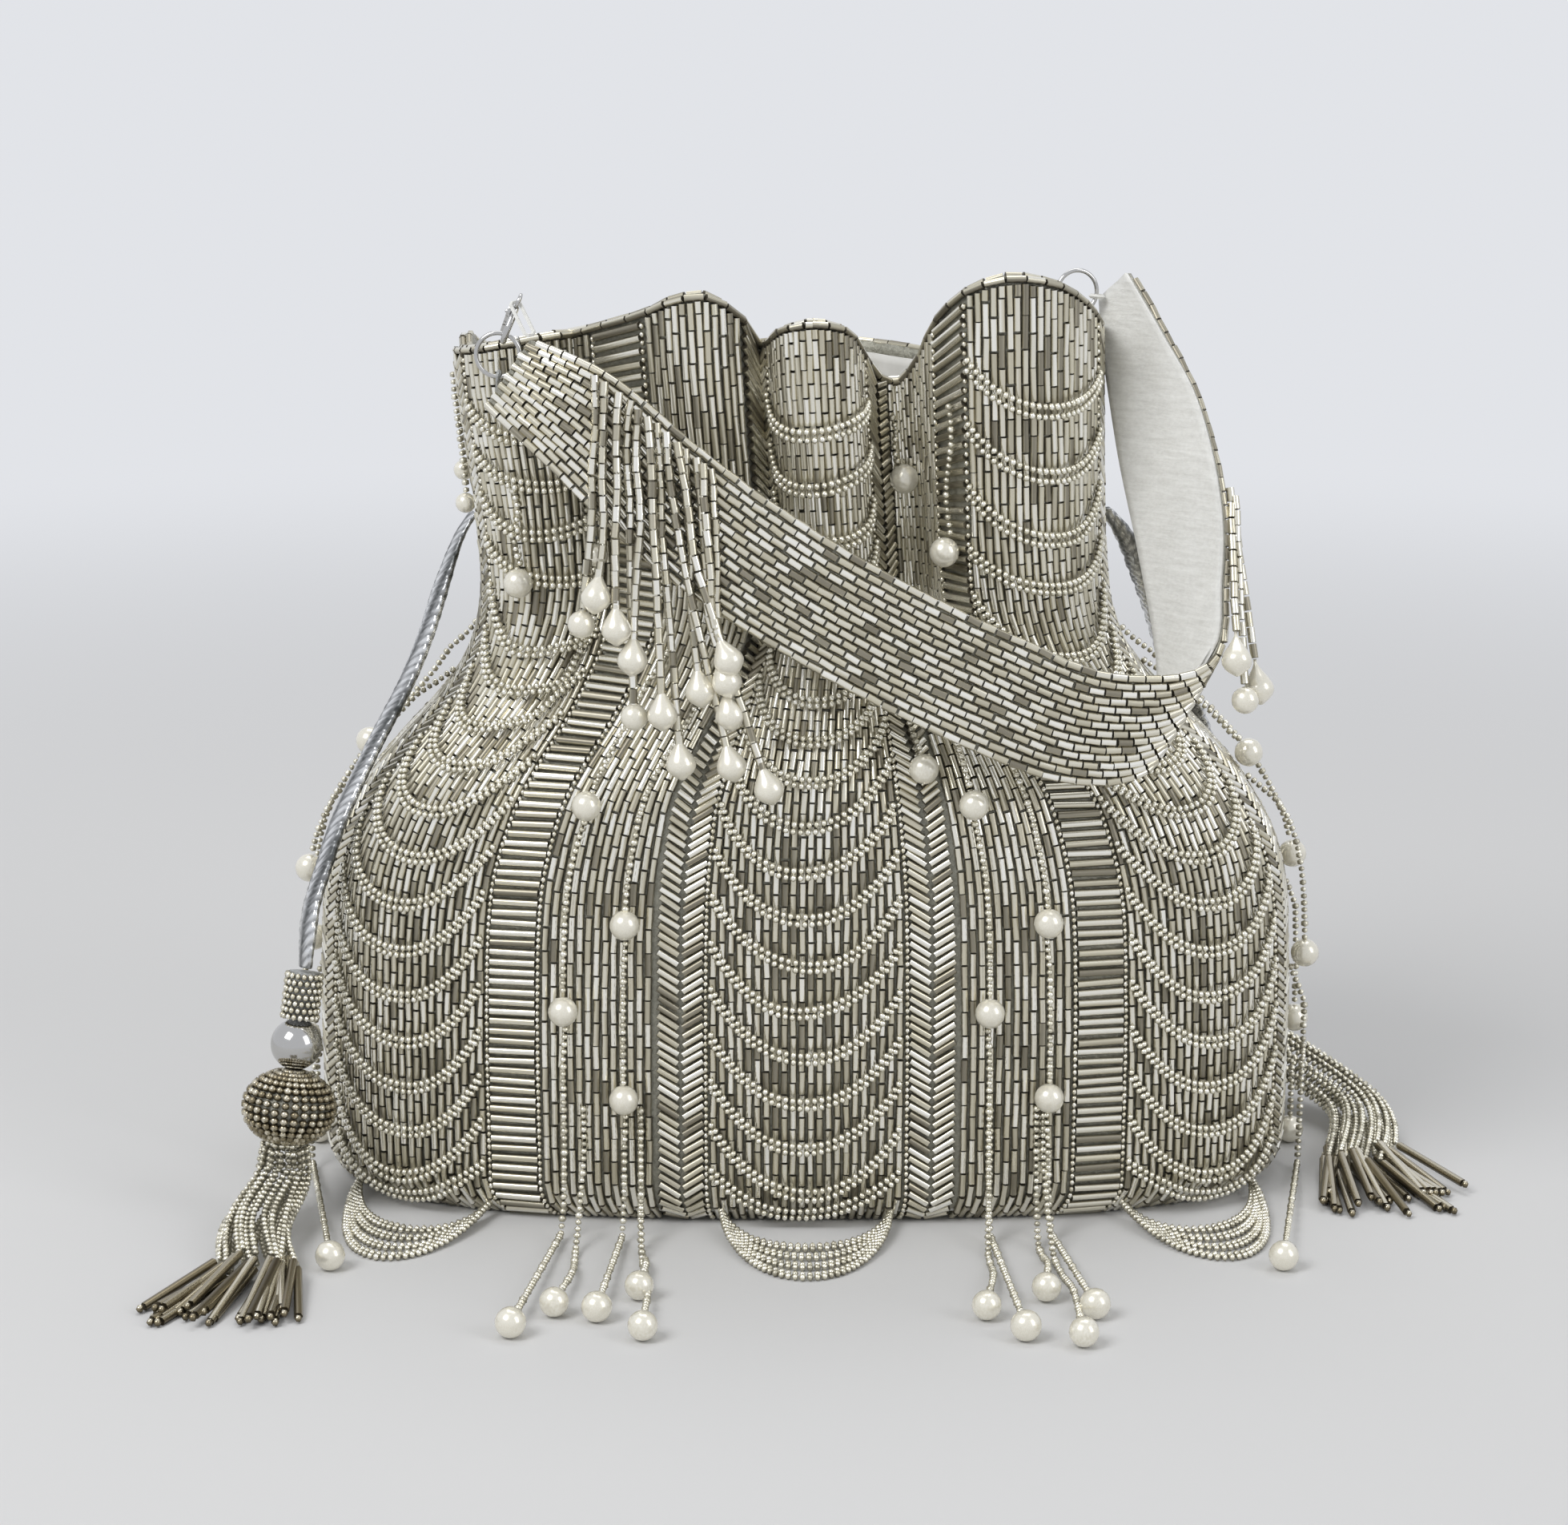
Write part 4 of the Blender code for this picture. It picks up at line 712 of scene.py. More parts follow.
rim_places = np.arange(0, WHOLE_ROUND - 1, RIM_TUBE)
for level, stand in ((RIM_HEIGHT - 0.6, 0.9), (RIM_HEIGHT, -1)):
    left, _ = on_cloth(rim_places, level, stand)
    right, _ = on_cloth(rim_places + RIM_TUBE, level, stand)
    slants.tubes(left, right, (0, 0, 1), 1)
for beads, name in ((bricks, "brick_beads"), (slants, "slanted_beads"), (lines, "edge_seeds")):
    beads.piece(name)

# %% [markdown]
# ## Bead swags
# Over the bricks of six strips hang swags: double rows of seeds that dip between the strip's
# edges, one below the other. The lowest ones are longer than the pouch is tall, so they lie on
# the floor in front of it. Each swag is a dipping curve on the cloth, walked at one bead's width.

# %% Bead swags
SWAG_PITCH, SWAG_SAG, TOP_SAG, TOP_FROM = 12.7, 18, 10, 190
SWAG_SPACING, SWAG_SEED, LOWEST_SWAG = 1.95, 1.05, 13


def swag(beads, middle, half_width, top_climb, sag):
    """Two rows of seeds that dip between the edges of a strip."""
    across = np.linspace(-1, 1, 60)
    shape = 1 - np.abs(across) ** 2.2
    sway = rng.uniform(-0.9, 0.9)
    for row in (-1, 1):
        climb_at = np.maximum(top_climb - sag * shape + row + sway * np.sin(3 * across), LOWEST_SWAG)
        line, _ = on_cloth(middle + half_width * across, level_of(climb_at), 2.4 + 1.8 * shape)
        centres = resample(line, SWAG_SPACING)
        lean = np.linspace(-1, 1, len(centres))
        _, outward = on_cloth(middle + half_width * lean, level_of(max(top_climb - sag / 2, 6)))
        beads.strung(centres, outward, SWAG_SEED)


side_middle = sum(width for _, width in PANELS[:4]) + PANELS[4][1] / 2
centre_half, side_half = PANELS[0][1] - 1.5, PANELS[4][1] / 2 - 1.5
SWAG_STRIPS = (
    ("front_centre", 0, centre_half),
    ("front_left", -side_middle, side_half),
    ("front_right", side_middle, side_half),
    ("back_centre", HALF_ROUND, centre_half),
    ("back_left", HALF_ROUND + side_middle, side_half),
    ("back_right", HALF_ROUND - side_middle, side_half),
)
for name, middle, half_width in SWAG_STRIPS:
    strip = Beads()
    for top_climb in np.arange(24, climbed[-1] - 3, SWAG_PITCH):
        sag = SWAG_SAG if top_climb < TOP_FROM else TOP_SAG
        swag(strip, middle, half_width, top_climb, min(sag, top_climb - LOWEST_SWAG - 1))
    strip.piece(f"swags_{name}", material=pale_bead)

# %% [markdown]
# ## Swags on the floor
# The last loops of the six swag strips are longer than the cloth is high, so they lie in front
# of the foot as flat ovals. We draw each as an arc from the strip's edges, level on the floor,
# and string it with two rows of the same seeds.

# %% Swags on the floor
TAIL_REACH, TAIL_STEPS, TAIL_TONE = 40, 41, (0.25, 1)


def tail(name, middle, half_width, ahead):
    """The last loops of a strip, on the floor in front of it."""
    beads = Beads()
    across = np.linspace(-1, 1, TAIL_STEPS)
    feet, outward = on_cloth(middle + half_width * across, 4, 0.8)
    way = unit(outward[TAIL_STEPS // 2] * (1, 1, 0) + (0, ahead, 0))
    for reach in (0.5, 0.66, 0.83, 1):
        out = TAIL_REACH * reach * (1 - np.abs(across) ** 2) ** 0.6
        line = feet * (1, 1, 0) + way * out[:, None] + (0, 0, 1)
        line[:, 2] += 3 * np.abs(across) ** 6
        for row in (-1, 1):
            # The painted highlight of these seeds faces up and to the front.
            beads.strung(resample(line + way * row, SWAG_SPACING), (0, -0.5, 1), SWAG_SEED, tone=TAIL_TONE)
    beads.piece(f"floor_loops_{name}", f"swag_tail_{name}", material=pale_bead)


for name, middle, half_width in SWAG_STRIPS:
    ahead = 0 if "centre" in name else (-1 if "front" in name else 1)
    tail(name, middle, half_width * 0.93, ahead)

# %% [markdown]
# ## Pearls and strands
# Round pearls hang over the brick strips on short strands of seeds, and the last ones lie on the
# floor. Drop pearls end the fringe of the strap, whose strands are short tubes. A pearl is a
# turned shape: a profile spun about its thread.

# %% Pearls and strands
PEARL_RADIUS, DROP_RADIUS, DROP_LENGTH, PEARL_SIDES = 4, 4, 12, 16
FOOT_HEIGHT, CHAIN_STAND, FLOOR_BEND = 18, 6.4, 7
STRAND_TUBE, STRAND_RADIUS, STRAND_SPACING = 4.2, 1.1, 2


class Pearls:
    """Collects turned pearls, and makes one mesh of them."""

    def __init__(self):
        self.points, self.faces, self.count = [], [], 0

    def turned(self, start, way, profile):
        """Spins a profile, which is distances along the thread and radii there."""
        way = unit(way)
        side = unit(np.cross(way, (0.3, 0.9, 0.2)))
        cosines, sines = circle(PEARL_SIDES)
        ring = np.outer(cosines, side) + np.outer(sines, np.cross(way, side))
        self.points += [start + way * distance + ring * radius for distance, radius in profile]
        self.faces += [[self.count + k for k in face] for face in tube_skin(len(profile), PEARL_SIDES)]
        self.count += len(profile) * PEARL_SIDES

    def ball(self, centre, radius=PEARL_RADIUS):
        angles = np.linspace(0.12, math.pi - 0.12, 10)
        self.turned(centre, (0.2, 0.1, -1), [(-radius * math.cos(a), radius * math.sin(a)) for a in angles])

    def drop(self, start, way):
        """A teardrop that hangs from its narrow end."""
        shares = np.linspace(0, 1, 12)
        width = np.sin(math.pi * shares**1.7) ** 0.8 * DROP_RADIUS
        self.turned(start, way, [(s * DROP_LENGTH, max(w, 0.45)) for s, w in zip(shares, width)])

    def piece(self, name):
        return settle(add_piece(name, np.concatenate(self.points), self.faces, pearl_paint), "pearl")


def thread(beads, line, outward):
    """Strings tubes of about one length end to end, from a line's start to its end."""
    fine = resample(line, 0.1)
    count = max(1, round((len(fine) - 1) * 0.1 / STRAND_TUBE))
    knots = np.linspace(0, len(fine) - 1, count + 1).astype(int)
    beads.tubes(fine[knots[:-1]], fine[knots[1:]], outward, STRAND_RADIUS, gap=0.45)


def seed_thread(beads, line, outward):
    """Walks a line and strings seeds of two sizes."""
    centres = resample(line, STRAND_SPACING)
    beads.strung(centres, outward, np.where(np.arange(len(centres)) % 3 == 0, 1.15, 1), tone=WIDE_TONE)


print("pearls are", 2 * PEARL_RADIUS, "mm across")

# %% [markdown]
# ## Strands on the brick strips
# Each brick strip carries a long and a short strand, and each side one more pair. A strand goes
# from pearl to pearl down one column of the cloth, and its last part bends at the foot and runs
# out on the floor. We follow the cloth for the hanging part and draw only the bend.

# %% Strands on the brick strips
# The heights of the pearls on a strip's two strands, and for each strip its middle and how far
# each of its strands runs out on the floor, and at what turn.
LONG_CHAIN, SHORT_CHAIN = (158, 116, 62), (146, 86, 38)
LONG_RUN, SHORT_RUN, SIDE_RUN, SIDE_TURN = 72, 60, 84, 98
chain_column = PANELS[2][1] / 4
brick_middle = PANELS[0][1] + PANELS[1][1] + PANELS[2][1] / 2
CHAINS = {
    "front_left": (-brick_middle, (LONG_RUN, 0), (SHORT_RUN, 0)),
    "front_right": (brick_middle, (LONG_RUN, 0), (SHORT_RUN, 0)),
    "back_left": (HALF_ROUND + brick_middle, (LONG_RUN, 0), (SHORT_RUN, 0)),
    "back_right": (HALF_ROUND - brick_middle, (LONG_RUN, 0), (SHORT_RUN, 0)),
    "side_left": (-HALF_ROUND / 2, (0, 0), (SIDE_RUN, SIDE_TURN)),
    "side_right": (HALF_ROUND / 2, (SIDE_RUN, -SIDE_TURN), (0, 0)),
}


def pearl_chain(beads, pearls, place, stops, reach, turn):
    """Strands down one column of the cloth, each ending in a pearl, the last on the floor."""
    for above, below in zip(stops, (*stops[1:], FOOT_HEIGHT)):
        levels = np.linspace(above - PEARL_RADIUS, below + PEARL_RADIUS, 12)
        stands = np.interp(levels, (below, above - 14, above - 4), (CHAIN_STAND, CHAIN_STAND, 2.4))
        line, outward = on_cloth(place, levels, stands)
        if below == FOOT_HEIGHT:
            foot = line[-1] - (0, 0, PEARL_RADIUS)
            way = Matrix.Rotation(math.radians(turn), 3, "Z") @ Vector(unit(outward[-1] * (1, 1, 0)))
            way = np.array(way)
            end = foot * (1, 1, 0) + way * reach + (0, 0, PEARL_RADIUS)
            if reach:
                bend = foot * (1, 1, 0) + way * FLOOR_BEND + (0, 0, 2)
                stop = end - way * PEARL_RADIUS
                line = np.concatenate([line[:-1], [foot * (1, 1, 0.5) + way * 2.5, bend, stop]])
            else:
                line = np.concatenate([line, [end + (0, 0, PEARL_RADIUS)]])
            pearls.ball(end)
        else:
            pearls.ball(on_cloth(place, below, CHAIN_STAND)[0])
        seed_thread(beads, line, outward[0])


for panel, (middle, first, second) in CHAINS.items():
    strand_beads, strand_pearls = Beads(), Pearls()
    pearl_chain(strand_beads, strand_pearls, middle - chain_column, LONG_CHAIN, *first)
    pearl_chain(strand_beads, strand_pearls, middle + chain_column, SHORT_CHAIN, *second)
    strand_beads.piece(f"strands_{panel}", f"pearl_strand_{panel}_a", f"pearl_strand_{panel}_b",
                       material=pale_bead)
    strand_pearls.piece(f"pearls_{panel}")
print("pearl strands on", len(CHAINS), "strips")

# %% [markdown]
# ## Loose strands
# Six more strands run out from the foot onto the floor in front, and seven hang in the gathers of
# the neck. They are sewn in beside the others, so we place each by its end and let a smooth
# curve join it to the cloth.

# %% Loose strands
# For a strand on the floor: its place round the cloth, then x and y of its pearl.
FLOOR_ENDS = ((-62, -64, -122), (-46, -43, -111), (-46, -41, -137),
              (51, 45, -124), (64, 61, -112), (66, 68, -141))
# For a strand at the neck: its place, its upper and lower heights and its pearl's size.
NECK_ENDS = ((43, 226, 204, 1), (84, 216, 182, 1), (37, 150, 124, 1), (-126, 198, 172, 1),
             (-104, 200, 178, 0.8), (-160, 232, 192, 0.7), (-166, 230, 202, 0.7))
loose_beads, loose_pearls = Beads(), Pearls()
for place, x, y in FLOOR_ENDS:
    top, outward = on_cloth(place, [34, 20], [3, 4.2])
    bend = np.array([top[1][0] * 0.7 + x * 0.3, top[1][1] * 0.7 + y * 0.3, 1.6])
    end = np.array([x, y, PEARL_RADIUS])
    stop = end + unit(bend - end) * PEARL_RADIUS
    line = smooth_route([top[0], top[1], bend, (bend + stop) / 2 + (1.5, 0, 0), stop], 60)
    seed_thread(loose_beads, line, outward[0])
    loose_pearls.ball(end, PEARL_RADIUS * 0.96)
for place, high, low, size in NECK_ENDS:
    radius = PEARL_RADIUS * size
    levels = np.linspace(high, low + radius, 8)
    line, outward = on_cloth(place + 1.2 * np.sin(np.arange(8)), levels, 2.2 + 1.2 * np.linspace(0, 1, 8))
    seed_thread(loose_beads, line, outward[0])
    loose_pearls.ball(on_cloth(place, low, radius + 1.2)[0], radius)
loose_beads.piece("loose_strands", material=pale_bead)
loose_pearls.piece("loose_pearls")

# %% [markdown]
# ## The strap
# The strap leaves the left ring, falls across the front, folds over at the right and comes back
# up to the right ring with its raw silk side to the viewer. Its beads are tubes laid along it,
# fourteen rows wide and staggered. The route repeats the solid's stations.

# %% The strap
# Centre of each station, the way across the strap there, and its half width.
STRAP_ROUTE = (
    ((-77.7, -49.5, 230.4), (0.57, 0.07, 0.82), 10.6), ((-57, -57, 217), (0.46, 0.07, 0.89), 15),
    ((-35, -62, 198), (0.53, 0.06, 0.85), 16), ((-11, -66, 181), (0.57, 0.03, 0.82), 16),
    ((17, -69, 165), (0.55, 0.06, 0.83), 16), ((46, -71, 151), (0.5, 0.1, 0.86), 16),
    ((73, -72, 141), (0.38, 0.1, 0.92), 15.5), ((98, -66, 143), (0.49, 0.12, 0.86), 16),
    ((102.7, -50.5, 163), (0.48, -0.26, 0.84), 16), ((100.5, -38, 188.5), (0.6, -0.47, 0.64), 16),
    ((95.5, -24, 213.5), (0.68, -0.54, 0.5), 14.5), ((90, -13, 232.5), (0.64, -0.63, 0.45), 11),
    ((85.3, -4.4, 248.8), (0.5, -0.63, 0.59), 6.5),
)
STRAP_STEPS, STRAP_ROWS, STRAP_TUBE, STRAP_TUBE_RADIUS = 240, 14, 4.3, 1.08
STRAP_BEADS, STRAP_NET, STRAP_LINING, STRAP_CLEARANCE = 2.2, 0.9, 1, 0.35
stations = smooth_route([(*c, *(np.array(w) * h)) for c, w, h in STRAP_ROUTE], STRAP_STEPS)
strap_centre, strap_wide = stations[:, :3], stations[:, 3:]
strap_face = unit(np.cross(np.gradient(strap_centre, axis=0), strap_wide))
strap_run = np.concatenate([[0], np.cumsum(np.linalg.norm(np.diff(strap_centre, axis=0), axis=1))])


def on_strap(run, across, stand=0):
    """Points of the strap at distances along it and shares across it, and its face there."""
    centre, wide, face = (np.stack([np.interp(run, strap_run, grid[:, k]) for k in range(3)], axis=-1)
                          for grid in (strap_centre, strap_wide, strap_face))
    across, stand = np.asarray(across, float)[..., None], np.asarray(stand, float)[..., None]
    return centre + wide * across + unit(face) * stand, unit(face)


def strap_strip(name, material, near, far, narrower, waves, slot, *nodes):
    """A strip of the strap between two depths, with soft waves in it."""
    columns = np.linspace(-1, 1, 17) * narrower
    run, across = np.meshgrid(np.linspace(0, strap_run[-1], 121), columns, indexing="ij")
    wave = waves * np.sin(run / 9 + 2 * across) * np.cos(run / 23 - 3 * across)
    front, _ = on_strap(run, across, -near)
    back, _ = on_strap(run, across[:, ::-1], -far + wave)
    points = np.concatenate([front, back], axis=1)
    settle(add_piece(name, points.reshape(-1, 3), tube_skin(*points.shape[:2]), material), slot, *nodes)


strap_strip("strap_net", net_cloth, STRAP_BEADS - STRAP_NET, STRAP_BEADS, 0.96, 0, "glass_beads")
lining_near = STRAP_BEADS + STRAP_CLEARANCE
strap_strip("strap_silk", raw_silk, lining_near, lining_near + STRAP_LINING, 0.97, 0.25,
            "strap_silk", "strap_silk_lining")

strap_beads = Beads()
for row in range(STRAP_ROWS):
    across = (row + 0.5) / STRAP_ROWS * 2 - 1
    run = np.arange(STRAP_TUBE / 2 * (row % 2), strap_run[-1] - STRAP_TUBE, STRAP_TUBE)
    stand = -0.9 + 0.5 * (1 - across**2)
    starts, _ = on_strap(run, across, stand)
    ends, _ = on_strap(run + STRAP_TUBE, across, stand)
    _, outward = on_strap(run + STRAP_TUBE / 2, across)
    strap_beads.tubes(starts, ends, outward, STRAP_TUBE_RADIUS)
strap_beads.piece("strap_beads", "strap_beaded_band")
print("strap is", round(strap_run[-1]), "mm long")

# %% [markdown]
# ## The strap's fringe
# Short strands hang from the strap's upper edge over its face, near the left ring. Each ends in
# a drop or a round pearl. The solids hold six of them; the others between them are seen only here.

# %% The strap's fringe
# x at the strap, how far the strand leans to the right, the height of its end, and its pearl.
FRINGE_LINES = (
    (-54.5, -4.3, 163, "ball"), (-52, -3, 170, "drop"), (-48.5, -0.5, 162, "drop"),
    (-45.5, 0.7, 139, "ball"), (-43, -2.3, 154, "drop"), (-41, 3.8, 140, "drop"),
    (-38.5, 6.1, 126.6, "drop"), (-36, 17.4, 126.6, "drop"), (-33.5, 24.9, 121, "drop"),
    (-31, 3.9, 146, "drop"), (-28.5, 9, 149, "drop"), (-26.5, 8, 155, "drop"), (-24.5, 5.3, 140, "drop"),
)
FRINGE_SHARES, FRINGE_LEAN, FRINGE_STAND = (0.85, 0.2, -0.45, -1.1), np.array([0, 0.08, 0.22, 0.42]), 3
SIDE_FRINGES = (((110.6, -45.2, 200), (118.5, -61, 145), "drop"),
                ((112, -46.5, 198), (114, -65, 143), "ball"),
                ((111, -47, 196), (111, -68, 154), "drop"))


def front_strap_point(x, across, stand):
    """The point of the strap's front run at one x and a share across it."""
    points, _ = on_strap(np.linspace(0, strap_run[-1] * 0.5, 200), across, stand)
    return np.array([x, np.interp(x, points[:, 0], points[:, 1]), np.interp(x, points[:, 0], points[:, 2])])


fringe_beads, fringe_pearls = Beads(), Pearls()


def hang(line, end):
    """Strings a strand along a line and ends it with its pearl."""
    line = np.asarray(line, float)
    way = unit(line[-1] - line[-2])
    length = DROP_LENGTH if end == "drop" else 2 * PEARL_RADIUS
    if end == "drop":
        fringe_pearls.drop(line[-1] - way * length, way)
    else:
        fringe_pearls.ball(line[-1] - way * length / 2, PEARL_RADIUS * 0.9)
    line[-1] = line[-1] - way * length
    # The painted highlight of these tubes faces the front.
    thread(fringe_beads, line, (0.1, -1, 0.2))


for number, (x, lean, bottom, end) in enumerate(FRINGE_LINES):
    stand = 1.4 + 1.1 * (number % 3)
    sway = rng.uniform(-1, 1, 4) * (0.2, 1, 1, 1) + lean * FRINGE_LEAN
    route = [front_strap_point(x + shift, share, stand) for share, shift in zip(FRINGE_SHARES, sway)]
    route.append(np.array([x + lean, route[-1][1] - FRINGE_STAND, bottom]))
    hang(smooth_route(route, 24), end)
for start, stop, end in SIDE_FRINGES:
    hang([start, stop], end)
fringe_beads.piece("fringe_beads", "fringe_side_1", *[f"fringe_front_{k}" for k in range(1, 6)])
fringe_pearls.piece("fringe_pearls")

# %% [markdown]
# ## Rings and clasp
# Two nickel rings are tied to the rim. A small trigger clasp hooks the strap to the left one: a
# hook with an eye, and a lever that turns on a pin.

# %% Rings and clasp
RINGS = {"left": ((-80.5, -41.5, 234), (0, 1, 0)), "right": ((73, -8, 247.6), (-0.3, 1, 0))}
RING_RADIUS, RING_WIRE, EYE_RADIUS, EYE_WIRE, EYE_OVERLAP = 5.7, 0.6, 1.8, 0.5, 0.25
CLASP_ANGLE = math.radians(68)
WIRE_SEAT, PIVOT = Vector((0.45, 0, 1)), Vector((0.4, 0, -4.8))
HOOK_ROUTE = ((0, 0, -6.6), (0.8, 0, -4.9), (2, 0, -2.8), (2.6, 0, -0.6), (2.3, 0, 1.6), (0.4, 0, 2.9),
              (-1.6, 0, 2.2), (-2.5, 0, 0.6))
HOOK_STEPS, HOOK_SIDES = 40, 14


def frame_of(origin, along, thick):
    """Placing matrix with local Z along one direction and local Y close to another."""
    along, thick = Vector(along).normalized(), Vector(thick)
    thick = (thick - along * thick.dot(along)).normalized()
    turn = Matrix((thick.cross(along), thick, along)).transposed().to_4x4()
    return Matrix.Translation(Vector(origin)) @ turn


def ring_points(placing, radius, wire, around=64, sides=12):
    """Points and faces of a ring of round wire."""
    points = []
    for angle in np.linspace(0, math.tau, around, endpoint=False):
        outward = Vector((math.cos(angle), 0, math.sin(angle)))
        for turn in np.linspace(0, math.tau, sides, endpoint=False):
            reach = outward * (radius + wire * math.cos(turn)) + Vector((0, wire * math.sin(turn), 0))
            points.append(placing @ reach)
    last = (around - 1) * sides
    closing = [[last + k, last + (k + 1) % sides, (k + 1) % sides, k] for k in range(sides)]
    return np.array(points), ring_faces(around, sides) + closing


def joined(*parts):
    """Several sets of points and faces as one."""
    points, faces, start = [], [], 0
    for more_points, more_faces in parts:
        points.append(more_points)
        faces += [[start + k for k in face] for face in more_faces]
        start += len(more_points)
    return np.concatenate(points), faces


for side, (centre, facing) in RINGS.items():
    wire = ring_points(frame_of(centre, (0, 0, 1), facing), RING_RADIUS, RING_WIRE)
    settle(add_piece(f"metal_ring_{side}", *wire, chrome), "chrome", f"ring_{side}")

ring_place = frame_of(RINGS["left"][0], (0, 0, 1), RINGS["left"][1])
ring_way = Vector((math.cos(CLASP_ANGLE), 0, math.sin(CLASP_ANGLE)))
clasp_out = ring_place.to_3x3() @ ring_way
clasp_round = ring_place.to_3x3() @ Vector((-ring_way.z, 0, ring_way.x))
clasp_spot = ring_place @ (ring_way * RING_RADIUS)
clasp_place = frame_of(clasp_spot, -clasp_out, clasp_round) @ Matrix.Translation(-WIRE_SEAT)


def clasp_tube(route, radii):
    """A tube along a route in the clasp's own frame."""
    return swept_tube([clasp_place @ Vector(p) for p in route], radii, HOOK_SIDES)


hook_radii = np.interp(np.arange(HOOK_STEPS), (0, 8, 30, 39), (0.85, 0.95, 0.8, 0.6))
hook = clasp_tube(smooth_route(HOOK_ROUTE, HOOK_STEPS), hook_radii)
eye_place = clasp_place @ Matrix.Translation((0, 0, HOOK_ROUTE[0][2] - EYE_RADIUS + EYE_OVERLAP))
eye = ring_points(eye_place, EYE_RADIUS, EYE_WIRE, around=40, sides=10)
post = clasp_tube([PIVOT + Vector((0, y, 0)) for y in (0, 1, 2.2, 2.35)], [0.5, 0.5, 0.5, 0.35])
settle(add_piece("clasp_hook", *joined(hook, eye, post), chrome), "chrome", "clasp_body")
dress("clasp_trigger", chrome)
for side in RINGS:
    dress(f"strap_tab_{side}", raw_silk)
    dress(f"ring_tab_{side}", lurex)
print("clasp hooks the ring at", tuple(round(c, 1) for c in clasp_spot))

# %% [markdown]
# ## Drawstrings
# Two braided metallic tapes leave the casing at the neck and hang down the sides. Braid is flat
# and soft, with slanted ridges where the threads cross, so we sweep a flat oval along the route
# and lift its skin in slanted waves.

# %% Drawstrings
TAPE_WIDTH, TAPE_FLAT, TAPE_SIDES, TAPE_STEP, BRAID_STEP = 11, 0.34, 32, 0.7, 1.6
TAPE_ROUTES = {
    "left": ((-91.3, -3, 187), (-95.6, -4.5, 180), (-100, -8, 168), (-104.5, -12, 154), (-110, -16, 141),
             (-119, -22, 124), (-127, -30, 107), (-131, -36, 95), (-134, -41, 85), (-135, -44.5, 76),
             (-135.5, -46, 69)),
    "right": ((82.8, 2, 187), (87.7, 5, 181), (94, 11, 170), (100, 19, 156), (105, 28, 142),
              (111, 37, 127), (117, 45, 112), (122, 50, 98), (125.5, 53, 87), (127, 54.5, 79)),
}


def braided_tape(side):
    """A flat tape along its route, narrower at both ends, with the ridges and glints of a braid."""
    route = resample(smooth_route(TAPE_ROUTES[side], 300), TAPE_STEP)
    points, faces = swept_tube(route, TAPE_WIDTH / 2, TAPE_SIDES, TAPE_FLAT, side=(0.5, -1, 0.3))
    rings = points.reshape(len(route), TAPE_SIDES, 3)
    across = circle(TAPE_SIDES)[0][None, :]
    along = np.arange(len(route))[:, None] * TAPE_STEP
    ridge = np.abs(np.sin(along * 1.1 + 4 * np.abs(across))) ** 0.7
    strand = np.abs(np.sin(along * 0.55 + 5 * across))
    centre = route[:, None, :]
    narrow = np.interp(along, (0, 12, 24), (0.5, 0.75, 1)) * np.interp(along[::-1], (0, 10), (0.75, 1))
    rings = centre + (rings - centre) * (narrow * (0.84 + 0.12 * ridge + 0.1 * strand))[..., None]
    over, under = (np.floor((along + way * across) / BRAID_STEP) for way in (5, -5))
    glint = np.abs(np.sin(over * 12.99 + under * 78.23)) * (0.35 + 0.65 * ridge)
    return route, add_piece(f"braided_tape_{side}", rings.reshape(-1, 3), faces, braid_metal, glint.ravel())


tapes = {side: braided_tape(side) for side in TAPE_ROUTES}
print("tapes", {side: len(route) for side, (route, _) in tapes.items()})

# %% [markdown]
# ## Tassels
# Each tape ends in a tassel: rings of seeds wrapped round the tape, a polished metal ball, a ball
# of seeds in rows from pole to pole, a skirt of seed strands that spills onto the floor, and long
# tubes at the strands' ends that fan out. The skirt comes first here: its strands follow one
# route to the floor, and a turning angle spreads them evenly round it.

# %% Tassels
# Start and direction of the tassel, where its skirt bends and ends on the floor, and the fan's way.
TASSELS = {
    "left": ((-135.6, -46.2, 68.4), (-0.12, -0.18, -0.97), (-146, -78), (-142, -100), (-0.22, -1)),
    "right": ((127.1, 54.6, 78.4), (0.12, -0.03, -1), (162, 20), (155, -24), (0.12, -1)),
}
WRAP_START, WRAP_LENGTH, WRAP_RADIUS, WRAP_ROWS, WRAP_PITCH = 0.35, 13, 5.5, 7, 1.85
METAL_BALL, GLOBE_RADIUS, GLOBE_HEIGHT, GLOBE_SEED, GLOBE_LINES = 7, 13, 21, 1.32, 28
SKIRT_TOP, SKIRT_BOTTOM, SKIRT_DEPTH, SKIRT_END, SKIRT_TONE = 6.5, 10.5, 4.5, 2.6, (0.2, 0.95)
SKIRT_STRANDS, SKIRT_STEPS, SEED_STEP, STRAND_TURN = 28, 40, 2.1, 2.39996
FAN_TUBE, FAN_SPREAD, FAN_RADIUS, FAN_SEED = 30, math.radians(44), 1.2, 1.15


